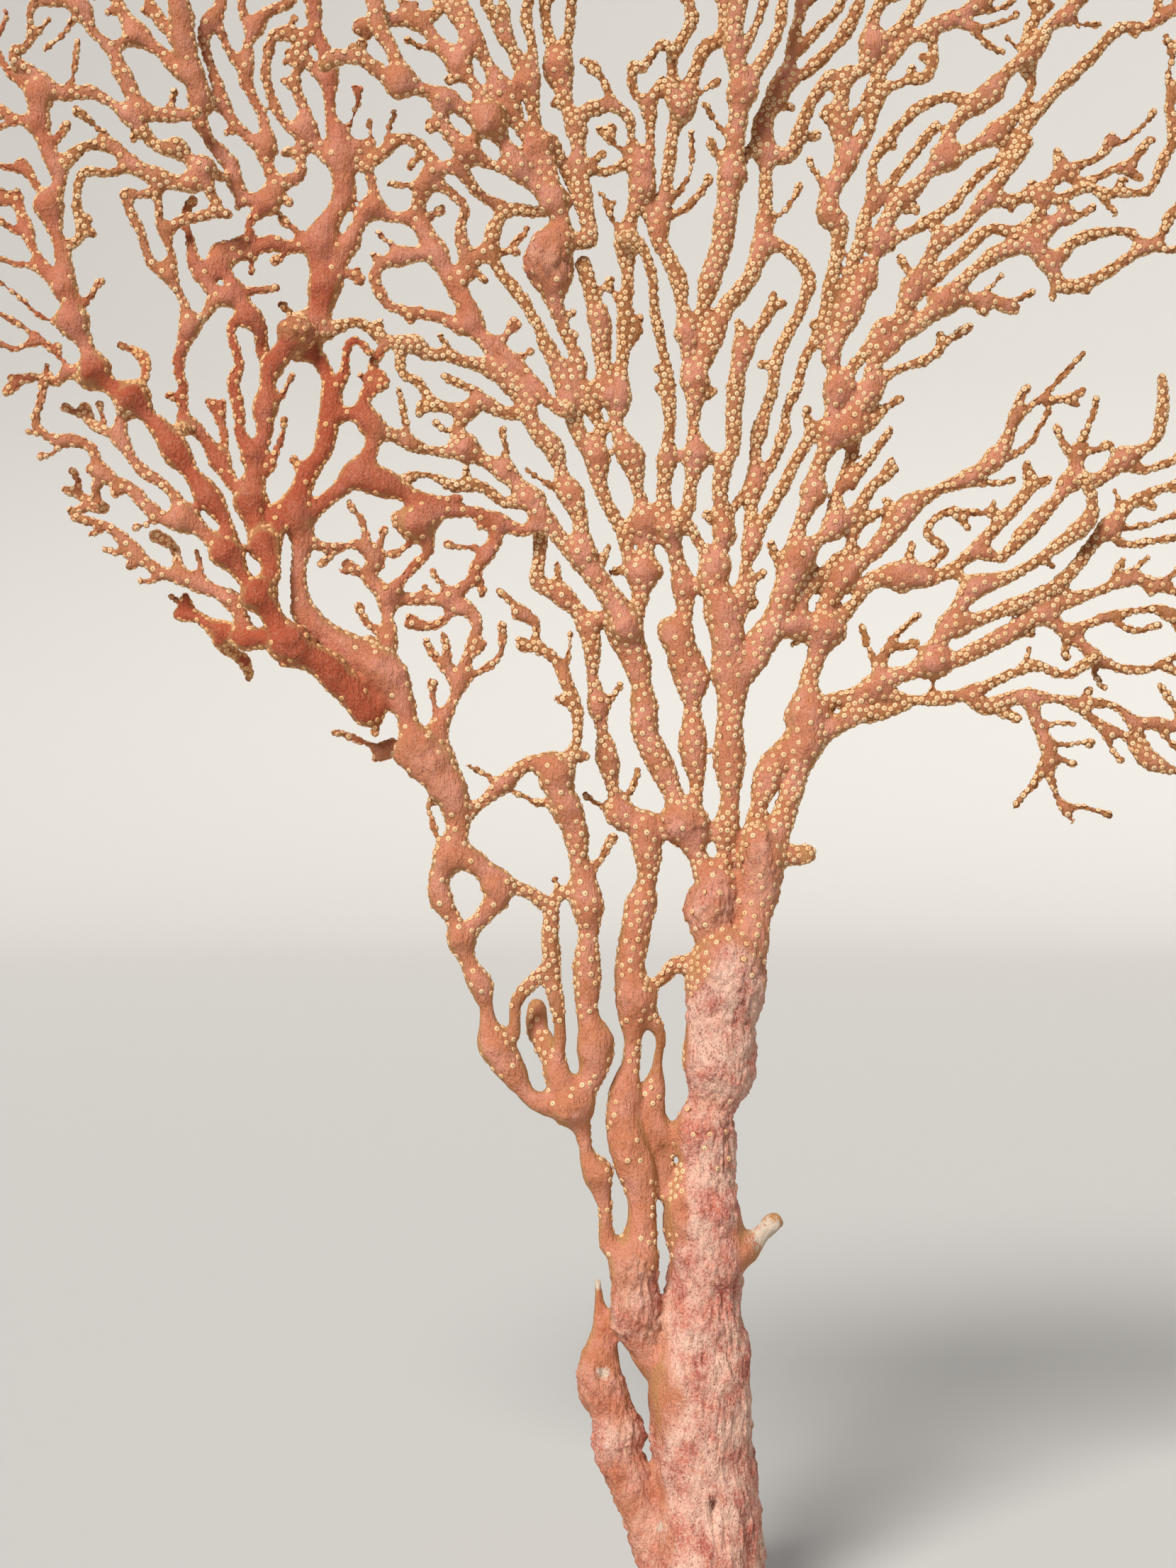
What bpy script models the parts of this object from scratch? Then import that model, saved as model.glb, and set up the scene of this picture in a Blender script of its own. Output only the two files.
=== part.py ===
"""A dried sea fan: one colony that branches in a plane, cut off flat at the foot of its trunk.

Metres, +Z up. X runs across the fan and Y through it, with the seen side at -Y.
The origin is the middle of the flat cut, which the fan stands on.

Each node is one limb of the fan, taken from one main fork to the next. Its branches are
listed by hand as a centre line of (x, z, width) in millimetres. The number before the points is
how far the tip lies from the middle of the fan, in millimetres. None is in its place
where the branch grows into another one and takes that one's depth.
"""

import math

import bmesh
import bpy
from mathutils import Vector

MM = 0.001

# Between two limbs that meet, in millimetres.
GAP = 0.3

# A branch whose listed end lies this far from the limb it grows from is led on to it, in millimetres.
LEAST_REACH = 1.6
MOST_REACH = 6

# How many sides a tube has from each mean width up, and how far a dropped point may lie from its tube.
ROUND_SIDES = ((20, 16), (11, 8), (7, 6), (0, 4))
POINT_TOLERANCE = 1.5
SMOOTH_ANGLE = math.radians(50)

# EXACT adds whole cutters where two of these bent tubes cross. MANIFOLD joins and cuts them cleanly.
SOLVER = "MANIFOLD"

# The colours of the dry rind, and its roughness.
ROSE = (0.62, 0.25, 0.18)
CORAL = (0.66, 0.24, 0.13)
RED = (0.55, 0.12, 0.06)
OCHRE = (0.72, 0.38, 0.16)
DEAD = (0.50, 0.20, 0.15)
ROUGHNESS = 0.85

BRANCHES = {
    "trunk": (
        (0, (0, 0, 58), (0.1, 1.5, 52), (0.3, 4, 44), (0.7, 8, 35.5), (1.2, 12, 30), (1.5, 15, 27.5),
         (2, 30, 24.5), (1, 45, 23),
         (0, 60, 24), (0.5, 67, 21.5), (1.3, 80, 17), (2, 92, 17.8), (0.8, 100, 18), (1.6, 107, 13.5),
         (2.2, 111, 12.7), (1.4, 118, 14), (3, 124, 10.6), (5, 131, 16), (5, 140, 16), (5.5, 145, 15.5),
         (6.5, 152, 18), (7, 158, 17)),
    ),
    "dead_stem": (
        (1, (-4, 10, 13), (-8, 16, 11), (-12.5, 27, 10), (-15.5, 36, 10), (-18.5, 41, 10.5),
         (-19, 46, 12.2), (-20.5, 52, 9.5), (-23, 58, 10.2), (-23, 63, 8.8), (-22.5, 68, 6.5),
         (-22.8, 74, 4), (-23.6, 82, 2.2)),
    ),
    "left_stem": (
        (-3, (-1, 51, 9), (-7, 59, 7.5), (-11.5, 65, 7.5), (-13.5, 70, 9.5), (-14.5, 75, 12),
         (-14.8, 82, 10.5), (-15.2, 88, 11)),
        (-5, (-16, 87, 7), (-21, 92, 5), (-22, 99, 3.9), (-22.6, 103, 4.4), (-24.1, 108.5, 6.8),
         (-26.2, 113, 4), (-27.2, 118, 4.2), (-29.5, 124, 9)),
    ),
    "left_limb": (
        (-8, (-29.5, 124, 6), (-36, 125, 5.6), (-40.5, 127.5, 4.6), (-45, 134.5, 6.6), (-48.3, 141, 5.4),
         (-49.6, 147, 4), (-51, 153, 6), (-53.6, 157.5, 4.4), (-55.5, 163, 5.6), (-57.4, 168, 3.6),
         (-60.2, 173, 5.5), (-60.4, 178, 5), (-57.5, 184, 6), (-56, 189.5, 5), (-57.6, 196.5, 7.2),
         (-61, 202, 8), (-65.5, 207.5, 9)),
        (None, (-55.4, 163, 4.6), (-51, 168, 4.3), (-47.5, 172.5, 5.5), (-47.2, 176, 6),
         (-50.5, 179.8, 5.4), (-57.5, 184, 6)),
    ),
    "left_upper_limb": (
        (-4, (-65.5, 207.5, 9), (-67.7, 213.5, 5.6), (-70, 220, 6.2), (-73.5, 225.5, 8), (-80, 230.3, 7),
         (-84.5, 232.8, 6.4), (-89, 236, 6.4), (-92.2, 240, 5.4), (-93.4, 245.5, 4.3), (-93.5, 251, 4.2),
         (-92.7, 257, 5.4), (-94.3, 263, 6)),
        (2, (-62, 204, 6), (-69.5, 207.7, 4), (-73, 207.4, 4), (-76.3, 205.3, 2.2)),
    ),
    "red_limb": (
        (-14, (-72.3, 223.5, 6), (-74.5, 217.5, 5), (-77, 215.5, 5.4), (-80.5, 220.3, 6.4),
         (-85, 225, 7.3), (-90, 229, 6.6), (-94.6, 232, 9), (-97.6, 236.5, 5), (-101.3, 242.3, 6.8)),
        (-2, (-95.2, 232, 6), (-99.8, 232.9, 4.8), (-106, 233.2, 4.2), (-112.5, 235.8, 4.2),
         (-117, 238.2, 3.6), (-121.7, 238.8, 3.6)),
        (3, (-111, 234.6, 4), (-111.2, 231.8, 3.4), (-107, 228.3, 3.2), (-106, 225, 3.4)),
    ),
    "far_left_low_limb": (
        (-6, (-104.8, 233.2, 4), (-106.8, 239.5, 3.8), (-109.5, 242.6, 4.2), (-115, 245.3, 3.4),
         (-120.5, 247.7, 3.6), (-125, 248.3, 3.2), (-131.2, 253.2, 3), (-136.5, 258.6, 3.4),
         (-140.6, 260.2, 2.6), (-145.5, 261.4, 2.8)),
        (3, (-120.5, 247.7, 3), (-121.3, 251.5, 2.7), (-124, 255.7, 2.7), (-128.3, 258, 3.2)),
    ),
    "far_left_limb": (
        (-9, (-101.3, 242.3, 6.8), (-104.5, 246, 3.8), (-108.8, 252.7, 6.6), (-108.5, 257.3, 4),
         (-110.2, 261.2, 4), (-113, 265.6, 6.2), (-117.5, 271, 4), (-120.8, 275.8, 6.8), (-123, 279, 6),
         (-127.5, 284.3, 4.2), (-131.5, 288.4, 7), (-136.3, 291.2, 4.2), (-140, 294.4, 6.8)),
        (4, (-131.5, 288.4, 6), (-129.3, 293.5, 2.8), (-129.7, 298, 2.8), (-132.6, 301.4, 2.4),
         (-136.5, 303.2, 2)),
    ),
    "far_left_side_limb": (
        (-6, (-108.8, 252.7, 6), (-113.5, 256.4, 3.8), (-119, 260.6, 5.2), (-123, 260, 3.2),
         (-128, 263.8, 3.8), (-131.5, 267.6, 3), (-138, 271, 3.4), (-141.5, 277.5, 3), (-146, 279.2, 2.6),
         (-150.5, 279.5, 2.5), (-154.6, 283.5, 2.6), (-153.2, 288.5, 2.1), (-152.8, 293, 2.6)),
        (None, (-119, 260.6, 4.4), (-120.3, 264.6, 3), (-124.5, 269, 3.2), (-129, 271.8, 3.2),
         (-132, 275.8, 3), (-134.2, 280, 3.2), (-133.8, 284.5, 2.6), (-132, 288, 4)),
        (4, (-134.2, 279.5, 3), (-138, 281.3, 2.7), (-142.6, 284.2, 2.8), (-145, 288.4, 2.8)),
        (3, (-138.1, 271, 3), (-141, 266.4, 2.4), (-138.6, 263.8, 3), (-142, 264.4, 3), (-145, 267, 2.7),
         (-149.2, 268.9, 2.7)),
    ),
    "left_edge_limb": (
        (-4, (-140, 294.4, 6.8), (-142.3, 300.5, 4), (-145.4, 306.4, 5.6), (-145.7, 311, 4),
         (-147.4, 315, 5), (-147.5, 320, 4), (-150, 329, 4), (-151.2, 334.3, 5.2), (-149.2, 339, 3.6),
         (-149.6, 343.3, 4.6), (-152, 347.6, 3), (-154.2, 353.3, 4.2), (-154, 361, 4.8)),
        (2, (-140.5, 294.6, 4), (-146.5, 295.2, 3.4), (-150, 293.3, 2.8), (-156, 295, 2.5),
         (-161.6, 295, 2.6)),
        (2, (-145.7, 306.2, 4), (-148, 307.6, 3.6), (-151.3, 309, 2.4)),
        (3, (-148.2, 314, 3), (-153.5, 320.9, 2.7), (-156.5, 327, 3), (-159.2, 332.9, 2.8),
         (-161.5, 337.3, 2.6), (-167, 340, 2.2)),
        (-2, (-151, 334, 3.2), (-154.6, 339.1, 2.6), (-158.8, 345, 2.6)),
        (2, (-154.2, 353.3, 3.6), (-160, 355.3, 2.7), (-165, 358.4, 2.8), (-170, 363, 2.2)),
        (2, (-154.2, 360.5, 3), (-160.3, 364.8, 2.4), (-165, 371.2, 2.2), (-168.5, 378, 1.8)),
    ),
    "left_ring_branch": (
        (None, (-154, 361, 4), (-153.2, 364, 3.4), (-159.5, 368, 3), (-160, 370.6, 3), (-156.6, 372, 2.4),
         (-156.2, 379, 2.4), (-154.6, 381.8, 2.8), (-145, 381.3, 4), (-141.6, 375, 3.2), (-137, 370.3, 4),
         (-134.4, 364.5, 4.2), (-130.5, 357.6, 4.2), (-126.5, 355.6, 4), (-121.5, 355.2, 3.4),
         (-117.4, 356, 4)),
        (None, (-152.6, 362, 3.6), (-148, 360.5, 2.8), (-142.4, 361, 3.6), (-137.8, 358.7, 3),
         (-132.4, 355.2, 4.2), (-130.4, 357, 3.6)),
    ),
    "left_web": (
        (None, (-117.5, 339.8, 4), (-122, 339.6, 4.2), (-126, 340.8, 4.6), (-132.5, 344, 3.4),
         (-135.8, 347.2, 2.8), (-139.5, 348.3, 2.8), (-144, 347.6, 3), (-149.2, 342.6, 4)),
        (None, (-132.8, 344, 2.6), (-137, 341.7, 2.4), (-142.8, 342.1, 2.6), (-144.8, 338, 2.5),
         (-144.6, 331, 2.6), (-143.9, 326.8, 2.6), (-148.2, 322.4, 3)),
        (None, (-132, 355, 4), (-129.4, 351.2, 3), (-125.8, 348, 3.2), (-121.8, 347.6, 5),
         (-119, 344.8, 3.2), (-115.6, 343, 5), (-117.5, 339.8, 3.4)),
    ),
    "low_red_branch": (
        (-5, (-101.3, 242.3, 6.4), (-99.2, 246, 4.6), (-98.8, 249.8, 4.2), (-100.6, 254.3, 6),
         (-103, 259, 4.5), (-104.6, 265, 6)),
        (None, (-100.6, 254.3, 5), (-98, 257.5, 4), (-98.8, 263, 3.2), (-94.3, 264.5, 4)),
    ),
    "red_fork_branch": (
        (3, (-104.6, 265, 6), (-108.3, 268.8, 3.2), (-112.2, 275.6, 4), (-111.4, 279.5, 2.8),
         (-112.7, 285, 2.6), (-114.9, 289.3, 3)),
        (-4, (-112.4, 275.4, 4), (-117.3, 282.2, 3.2), (-120.2, 283.8, 3.6), (-120.7, 287.5, 3),
         (-120.6, 292, 3), (-121.5, 296, 3.8), (-121, 300.5, 3.4), (-118.5, 306.6, 4.2)),
        (None, (-120.2, 283.4, 3.4), (-122, 279.5, 4)),
    ),
    "red_upper_branch": (
        (-2, (-104.6, 265, 6), (-103.9, 271.5, 3.8), (-104, 276, 5), (-106.8, 280.2, 3.2),
         (-107.3, 286, 3), (-108.8, 293, 3.8), (-107.4, 297.5, 3), (-109.2, 303.3, 3), (-109.6, 307, 3),
         (-105.8, 308.6, 4)),
        (None, (-104, 276, 4), (-101.4, 281, 3.4), (-101.2, 288.5, 4.5), (-100.9, 293.5, 4),
         (-100.2, 297.3, 5.4), (-97, 300.8, 5.4), (-94.2, 304.8, 9)),
    ),
    "tall_red_limb": (
        (6, (-94.3, 263, 6), (-92, 271.3, 5), (-88.5, 276.8, 4.6), (-86.8, 283.5, 5.2), (-86.4, 291, 4),
         (-88, 297, 3.6), (-91, 301.3, 4.6), (-94.2, 304.8, 9), (-89.8, 310.7, 6), (-88.4, 317, 6.2)),
        (0, (-86.5, 291, 3.6), (-83.4, 295.5, 2.8), (-82.3, 303, 2.5), (-80.3, 303.7, 2.4),
         (-77.3, 300.8, 2.6)),
    ),
    "upper_left_limb": (
        (4, (-88.4, 317, 6.2), (-89.6, 323, 5.2), (-89.2, 329, 6), (-86.4, 333.8, 5), (-83.9, 338.8, 5.6),
         (-84.6, 347.6, 5.2), (-85.2, 352.8, 4.4), (-87, 358.8, 3.2), (-87.2, 365.8, 3.6),
         (-87.3, 370.5, 4.2), (-90.3, 378, 3.6), (-91, 384, 4), (-92.5, 391, 3), (-93, 398, 2.4)),
        (None, (-89.4, 327.5, 4.2), (-92.9, 327.2, 3.4), (-97.5, 326.8, 3), (-101.2, 327.6, 4.4),
         (-105, 324.9, 3), (-109.4, 323, 3.2), (-112.6, 321.6, 4.4), (-109.3, 317, 3.2), (-105.5, 309, 4)),
        (None, (-112.6, 321.6, 4), (-113.2, 325.2, 3.8), (-109, 326.4, 3), (-105.8, 329.3, 3),
         (-106, 332, 3), (-101.5, 337, 4.5)),
        (3, (-105.4, 308.6, 4.4), (-103, 306, 4), (-102.8, 301.5, 3.4), (-100.4, 297.5, 5)),
        (0, (-109, 314, 4.4), (-113, 314.4, 4), (-118, 321, 3.8), (-119.5, 327.5, 2.8),
         (-121, 332.5, 2.6), (-118.8, 336.8, 2.6)),
    ),
    "upper_left_web": (
        (None, (-84.8, 348, 5), (-88.4, 348.5, 4), (-90.3, 351, 3.2), (-93.2, 355, 5), (-93, 359, 3.2),
         (-95.4, 365, 3), (-94.4, 369, 2.8), (-93.8, 374, 3.4), (-90.6, 378.5, 3.6)),
        (None, (-93.2, 354.6, 4.6), (-93.8, 348.5, 3.2), (-94, 343.8, 3.4), (-97.4, 342, 4),
         (-100.2, 341, 4)),
        (None, (-93.2, 354.6, 3), (-96.7, 355, 2.8), (-99.6, 359, 3), (-102.3, 366.5, 2.7),
         (-101.6, 372.5, 2.6), (-99.8, 377, 3), (-93.8, 376.5, 3.4)),
        (None, (-87.2, 366, 3.4), (-90.5, 368.3, 3), (-93.9, 372.5, 3)),
    ),
    "crown_left_stem": (
        (6, (-101.5, 337, 4.5), (-100.3, 341.5, 3.8), (-102.2, 347, 3.4), (-102, 352, 4.2),
         (-103.4, 358, 3.2), (-107, 365.4, 3.2), (-107.2, 369.6, 4), (-106.3, 375, 2.8), (-105, 379, 4),
         (-101.5, 382.8, 3), (-97, 385, 3), (-95, 391, 2.6), (-96, 397, 2.2)),
        (3, (-102.6, 350, 4), (-106.6, 352.6, 3.2), (-110.6, 357.5, 3.6), (-112.2, 361, 4.2),
         (-114.4, 367, 3), (-116.8, 374.5, 3), (-115.3, 379.6, 3.4), (-113, 383, 3.2), (-113, 390, 2.6),
         (-115, 397, 2.2)),
        (None, (-115, 379.8, 3), (-112.5, 376.8, 2.5), (-110.4, 371.8, 3), (-107.3, 369.4, 3.6)),
        (4, (-104.8, 378.8, 3.4), (-107.3, 381, 2.6), (-108, 388, 2.4), (-106.5, 394, 2)),
    ),
    "crown_left_limb": (
        (-5, (-101.5, 337, 4.5), (-106.5, 338.3, 3.2), (-109.4, 341, 4.4), (-110.6, 346, 4.2),
         (-115.4, 351.5, 3.6), (-117.5, 356, 4.4), (-117.3, 361, 4.4), (-118.6, 366, 4.4),
         (-120.4, 374, 4.3), (-121.3, 381, 5.2), (-122.5, 388, 4), (-124, 396, 3), (-123.5, 403, 2.4)),
        (None, (-117.2, 360.8, 3.6), (-114.3, 359.4, 3.2), (-111.8, 359.8, 3.6)),
        (3, (-118.8, 366, 4), (-122.5, 367.6, 4), (-127, 372, 3.3), (-132.2, 375.8, 4.2),
         (-136, 382.4, 3), (-139, 389, 2.6), (-140, 394.5, 2.2)),
        (2, (-120.6, 372.5, 4), (-124.5, 376, 3.2), (-128, 381.4, 3), (-131, 388, 2.6), (-132, 395, 2.2)),
        (None, (-132.2, 375.8, 4), (-134.6, 373.2, 3.4), (-136.8, 370.4, 4)),
        (None, (-115.4, 343, 4.4), (-112.4, 342, 3), (-109.6, 342.6, 3.6)),
    ),
    "left_arch_branch": (
        (None, (-118.5, 306.6, 4), (-120.7, 312.5, 3), (-124, 318.3, 3.6), (-128, 321.4, 3),
         (-130.6, 328.5, 3), (-134, 336.8, 3), (-130.6, 336.7, 2.8), (-126, 337.8, 3),
         (-125.9, 340.6, 3.4)),
        (None, (-123.8, 318.4, 3), (-123.3, 323.5, 2.5), (-126, 331.5, 2.5), (-126, 337.8, 3)),
        (None, (-124.4, 328.2, 2.4), (-121, 330.6, 2.8), (-114.6, 332.2, 3), (-112.6, 334.4, 3),
         (-114.2, 338, 3), (-115.6, 342.5, 4)),
        (None, (-118.5, 306.8, 3.4), (-115.2, 309.2, 2.8), (-113.4, 314, 3.6)),
    ),
    "side_red_branch": (
        (5, (-88.4, 317, 6), (-85.8, 322.5, 4.5), (-82.6, 327.6, 5.2), (-80, 333, 4), (-77, 336, 4.6),
         (-73, 334, 3.2), (-68.5, 333.4, 4.2), (-65.4, 331.8, 4.6), (-62, 325, 4.4), (-58.3, 318.6, 4.2),
         (-55.8, 314.5, 4.6), (-53.4, 309, 4.2)),
        (None, (-62, 325, 4), (-66.2, 324.9, 3.6), (-70.3, 324.4, 4), (-75.8, 322, 3.2),
         (-76, 317.5, 2.8), (-73.6, 313.2, 3.2), (-69.6, 311.7, 3), (-61, 310, 3), (-56.5, 307.6, 4),
         (-53.2, 308, 4)),
        (None, (-77, 336, 4), (-77, 341, 3), (-78.4, 346.5, 2.6), (-77, 350.6, 2.6), (-84, 350.2, 3.6)),
        (0, (-53.4, 309, 4.2), (-51, 305, 4), (-45, 300.8, 4.2), (-41, 297, 3.4), (-38.3, 293.2, 4),
         (-35, 289, 3.4), (-31.2, 287.2, 4)),
    ),
    "arching_branch": (
        (None, (-17, 236.7, 7), (-20, 242.3, 5.4), (-24.3, 248, 4.4), (-27.3, 253, 5.4),
         (-27.7, 260, 3.7), (-29.5, 266, 4.5), (-32.6, 273.5, 4), (-34, 278.3, 5), (-38.6, 283.6, 4.6),
         (-40.2, 288, 4.5), (-43, 292.3, 4.2), (-48.5, 297.2, 4.6), (-55, 299.3, 3.8), (-59, 300.6, 3.8),
         (-63.5, 301, 3.6), (-67.5, 303.5, 4.4), (-74, 304.7, 3.4), (-80, 308.8, 2.9),
         (-85.5, 307.5, 3.2), (-93.5, 306.5, 5)),
    ),
    "second_arching_branch": (
        (None, (-27.3, 253, 5), (-31.4, 255.6, 4.4), (-36.4, 261.8, 4.4), (-39.3, 266.2, 4.6),
         (-43, 270.3, 3.7), (-46, 273.4, 4.6), (-51, 275.7, 3.9), (-54.8, 278.6, 5), (-56.8, 282.8, 3.2),
         (-54.6, 286.6, 3.6), (-51.5, 289.6, 3.6), (-46, 287, 3.4), (-40, 286.3, 4)),
        (None, (-54.8, 278.4, 4), (-59.5, 277.6, 3.2), (-65, 278.2, 3.3), (-71, 281, 3),
         (-75.6, 281.8, 4)),
        (None, (-53.6, 288, 3.2), (-59, 288, 3.1), (-63, 290, 3), (-66, 294.4, 3), (-70, 296.6, 2.8),
         (-70.3, 303.4, 2.8)),
        (None, (-39.3, 266.2, 4), (-45.5, 265.6, 3.1), (-51, 269.4, 3.3), (-57.5, 269.5, 3.4),
         (-61.5, 271.4, 2.6), (-66.5, 271.9, 2.6), (-71.5, 268.9, 4)),
        (2, (-51.4, 289.6, 3), (-52.2, 292, 2.6), (-56, 293.7, 2.5), (-60.4, 295.6, 2.6)),
    ),
    "red_loop_branch": (
        (None, (-93, 261, 5), (-88.4, 264.4, 4), (-81.6, 270.6, 5), (-78.2, 274, 5), (-76.4, 279, 3.8),
         (-76, 283, 5), (-81, 286.3, 3.6), (-86.6, 284.6, 4)),
        (-2, (-79.5, 272, 6), (-75, 270, 6.5), (-70.4, 268.3, 5), (-66, 266.6, 4.4), (-60, 265.8, 3),
         (-56, 266.4, 2.2)),
        (None, (-77.6, 285, 4), (-78.6, 289.4, 4), (-77.2, 294, 2.8), (-76.2, 300, 2.8), (-73, 304.2, 3)),
    ),
    "crust_branch": (
        (-2, (-37, 261, 4), (-41, 259, 3.2), (-46, 260.6, 3.4), (-51.5, 263, 3.2), (-58, 263.5, 3.4),
         (-63, 262.6, 7), (-66.5, 261, 8), (-69.5, 261.5, 5)),
        (None, (-47.2, 260.4, 3), (-48.2, 255.5, 3.4), (-52, 250.4, 3.2), (-53.4, 246.8, 3.4),
         (-59, 242.6, 3)),
        (None, (-65.4, 259.6, 5), (-63.2, 254, 3.2), (-67, 250.2, 2.8), (-72.8, 243.3, 4)),
    ),
    "web_branch": (
        (0, (-58.5, 199.5, 6), (-60.6, 211.5, 4), (-57.2, 218.8, 3), (-55.6, 223.3, 3.4),
         (-54.2, 229, 2.8), (-51.8, 236, 3.2), (-53.8, 239.8, 3.6), (-60, 242.3, 3.2), (-66, 242.8, 3),
         (-72.8, 243, 4.2)),
        (None, (-73, 228, 5), (-72.6, 234, 3.3), (-72.8, 243, 4)),
        (None, (-73, 242.6, 3.6), (-77, 248.5, 2.8), (-76, 252.3, 3), (-80, 255.3, 2.4),
         (-86, 254.6, 2.6), (-92.8, 256.3, 4)),
    ),
    "inner_left_stem": (
        (2, (-14.8, 86, 8), (-13.8, 92, 7), (-13.5, 102, 6.4), (-15.5, 112, 8.4), (-18, 121, 7.2),
         (-17.6, 127, 7), (-15.8, 134, 4.6), (-15.4, 141, 5.4), (-14.9, 148.5, 9), (-16, 156, 7),
         (-14.2, 165, 6.8), (-13.2, 171, 7.2), (-12, 177, 5), (-11.7, 184, 6.4), (-12.8, 189.5, 5.4)),
        (None, (0, 95, 8), (-7.5, 103, 5), (-8.1, 109, 4.3), (-8.7, 115, 5.5), (-10.3, 121, 6.2),
         (-10.3, 127, 5.4), (-9.6, 134, 3), (-9, 140.5, 3.2), (-13, 146.5, 5)),
        (None, (-13.5, 149.5, 4.6), (-8.5, 153.6, 3.4), (-5, 156.8, 4.4), (4, 157.5, 5)),
    ),
    "left_inner_branch": (
        (None, (-29, 124.5, 6), (-25.4, 131, 5.4), (-24.1, 138.5, 7.8), (-25.8, 146, 5.2),
         (-26.2, 156, 6.2), (-25.9, 164.5, 4.4), (-26, 171.5, 7.4), (-27.6, 179, 4), (-29, 189, 6),
         (-31.6, 196, 5.6), (-34, 202.2, 7), (-39.5, 204.2, 4), (-45, 200, 3.6), (-50.5, 195, 3),
         (-56.3, 190.5, 4)),
        (None, (-30.4, 125, 6), (-33, 132, 4.8), (-32.6, 143, 3.4), (-34.3, 155.5, 4.3),
         (-34.6, 167, 4.2), (-32.6, 173.6, 3.2), (-26.4, 174.6, 4)),
        (4, (-32.6, 130.4, 5), (-34.4, 135.5, 5.4), (-37.8, 141.5, 5), (-38, 146.5, 4.2)),
        (None, (-47.5, 138.5, 4.6), (-43.2, 141, 3.5), (-42.8, 148, 3.4), (-39.5, 152.8, 3.8),
         (-34.4, 157, 4)),
        (None, (-47.3, 175.8, 5), (-41, 174.8, 3.4), (-34.2, 170.4, 4)),
        (None, (-33, 201.5, 5), (-28.9, 208, 2.8), (-28.6, 216, 3.2), (-33, 227.5, 2.8),
         (-37.6, 232, 2.4), (-38.4, 237.5, 2.4), (-43, 239, 2.2)),
    ),
    "left_centre_branch": (
        (5, (-12.7, 189.5, 5.2), (-18, 191.8, 5.4), (-20, 198, 3.4), (-21.3, 205, 5.5),
         (-22.4, 211.5, 3.5), (-23.8, 218.5, 4.4), (-24.8, 225, 3.3), (-25.2, 233.5, 4), (-28, 240, 3.6),
         (-33.5, 244.9, 4.4), (-38, 246.8, 4), (-37.4, 253, 3.3), (-37.2, 260.8, 4)),
        (None, (-25.5, 237, 4), (-22, 238.4, 4), (-17, 236.7, 6)),
    ),
    "middle_fork": (
        (3, (6, 154, 14), (3, 162, 7.5), (3, 170, 11), (3.6, 176, 8.4), (0, 182, 5), (-2.8, 189, 10),
         (-5.5, 196, 5), (-7.6, 201.5, 5.6), (-12, 209.5, 6.3), (-12.7, 217, 6), (-13.3, 222.5, 4.5),
         (-14.4, 228.5, 7.2), (-16.4, 234, 7), (-17, 236.7, 7.4), (-14, 242, 4), (-12.7, 249, 6.2)),
        (None, (-2.6, 191, 6), (-0.2, 198, 3.8), (-1.3, 209, 6.6), (-1.3, 217, 4.3), (-1.7, 224.5, 7.5),
         (-4.2, 231.5, 6.8), (-5.6, 235, 6.6)),
    ),
    "middle_right_branch": (
        (0, (3.6, 176, 7), (6, 182.5, 4.2), (6.4, 188, 5.6), (7.3, 195, 4.8), (7.5, 203, 7.2),
         (7.5, 215, 6), (8, 224, 6.6), (6.8, 233, 7.6), (6, 240, 7), (3.6, 246, 6.4), (4.2, 250.5, 5.4)),
        (2, (9, 225.5, 6), (13.3, 228.5, 6), (15.8, 234, 6.6), (18.2, 239, 5), (20, 243.8, 5.6),
         (21.7, 248, 4.8), (23.8, 253, 6.6), (23.4, 258.5, 4), (25.6, 264, 4.8), (27.3, 268.6, 6.2),
         (28.3, 274, 4), (30.6, 278.8, 4.2), (32.4, 282, 6.2), (31.5, 286.5, 3.8), (33.2, 292.5, 5.8)),
    ),
    "right_stem": (
        (4, (7.5, 154, 14), (12, 161, 8.4), (13.4, 170, 8.4), (14.6, 178.5, 9.8), (15.4, 185, 10.5),
         (18.4, 187.6, 6.4), (21.8, 195.5, 5), (25.2, 207, 7), (25.8, 215.5, 8), (26.4, 222.5, 4.8),
         (28.3, 229.5, 5.4), (30.2, 235.8, 7)),
        (None, (14, 186, 5.4), (14, 193.5, 4.3), (16.4, 201, 6.2), (20, 206.2, 5.6), (24.4, 210, 6)),
        (2, (16, 182.3, 6), (20, 182.5, 4.6), (25.8, 182.5, 5)),
    ),
    "middle_tall_branch": (
        (0, (-5.6, 235, 6.6), (-3.3, 239.5, 4), (-3.4, 246, 6.4), (-5, 252, 3.6), (-7, 259.5, 6.6),
         (-8.2, 267, 3.7), (-7.4, 275.3, 4.8), (-6.6, 284, 3.2), (-7, 291.5, 3.6), (-7.6, 298, 2.6),
         (-8.8, 303.5, 3), (-10.4, 312, 2.7), (-11, 319.5, 2.7), (-13.2, 325.2, 2.8), (-16.6, 327.4, 4.6)),
        (0, (-0.6, 277, 5.6), (-1.6, 270, 3.8), (-2.7, 263.5, 3.8), (-6.4, 259.6, 5.4)),
        (None, (-12.7, 249, 6), (-12, 254.5, 3.8), (-12.8, 261, 5.6), (-7, 261, 4)),
    ),
    "tall_left_branch": (
        (4, (-12.8, 261, 5.4), (-14, 268.5, 3.6), (-15.8, 277, 6.4), (-18.8, 283, 3.6), (-19, 289.5, 5.4),
         (-20.6, 293, 5.6), (-22.4, 299, 3.8), (-23.3, 308.5, 5.4), (-24.9, 314, 4), (-26.8, 322.5, 4)),
        (None, (-12.7, 249, 5.6), (-16.2, 253, 4), (-18.5, 260, 3.7), (-22.6, 268.5, 4.2),
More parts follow.
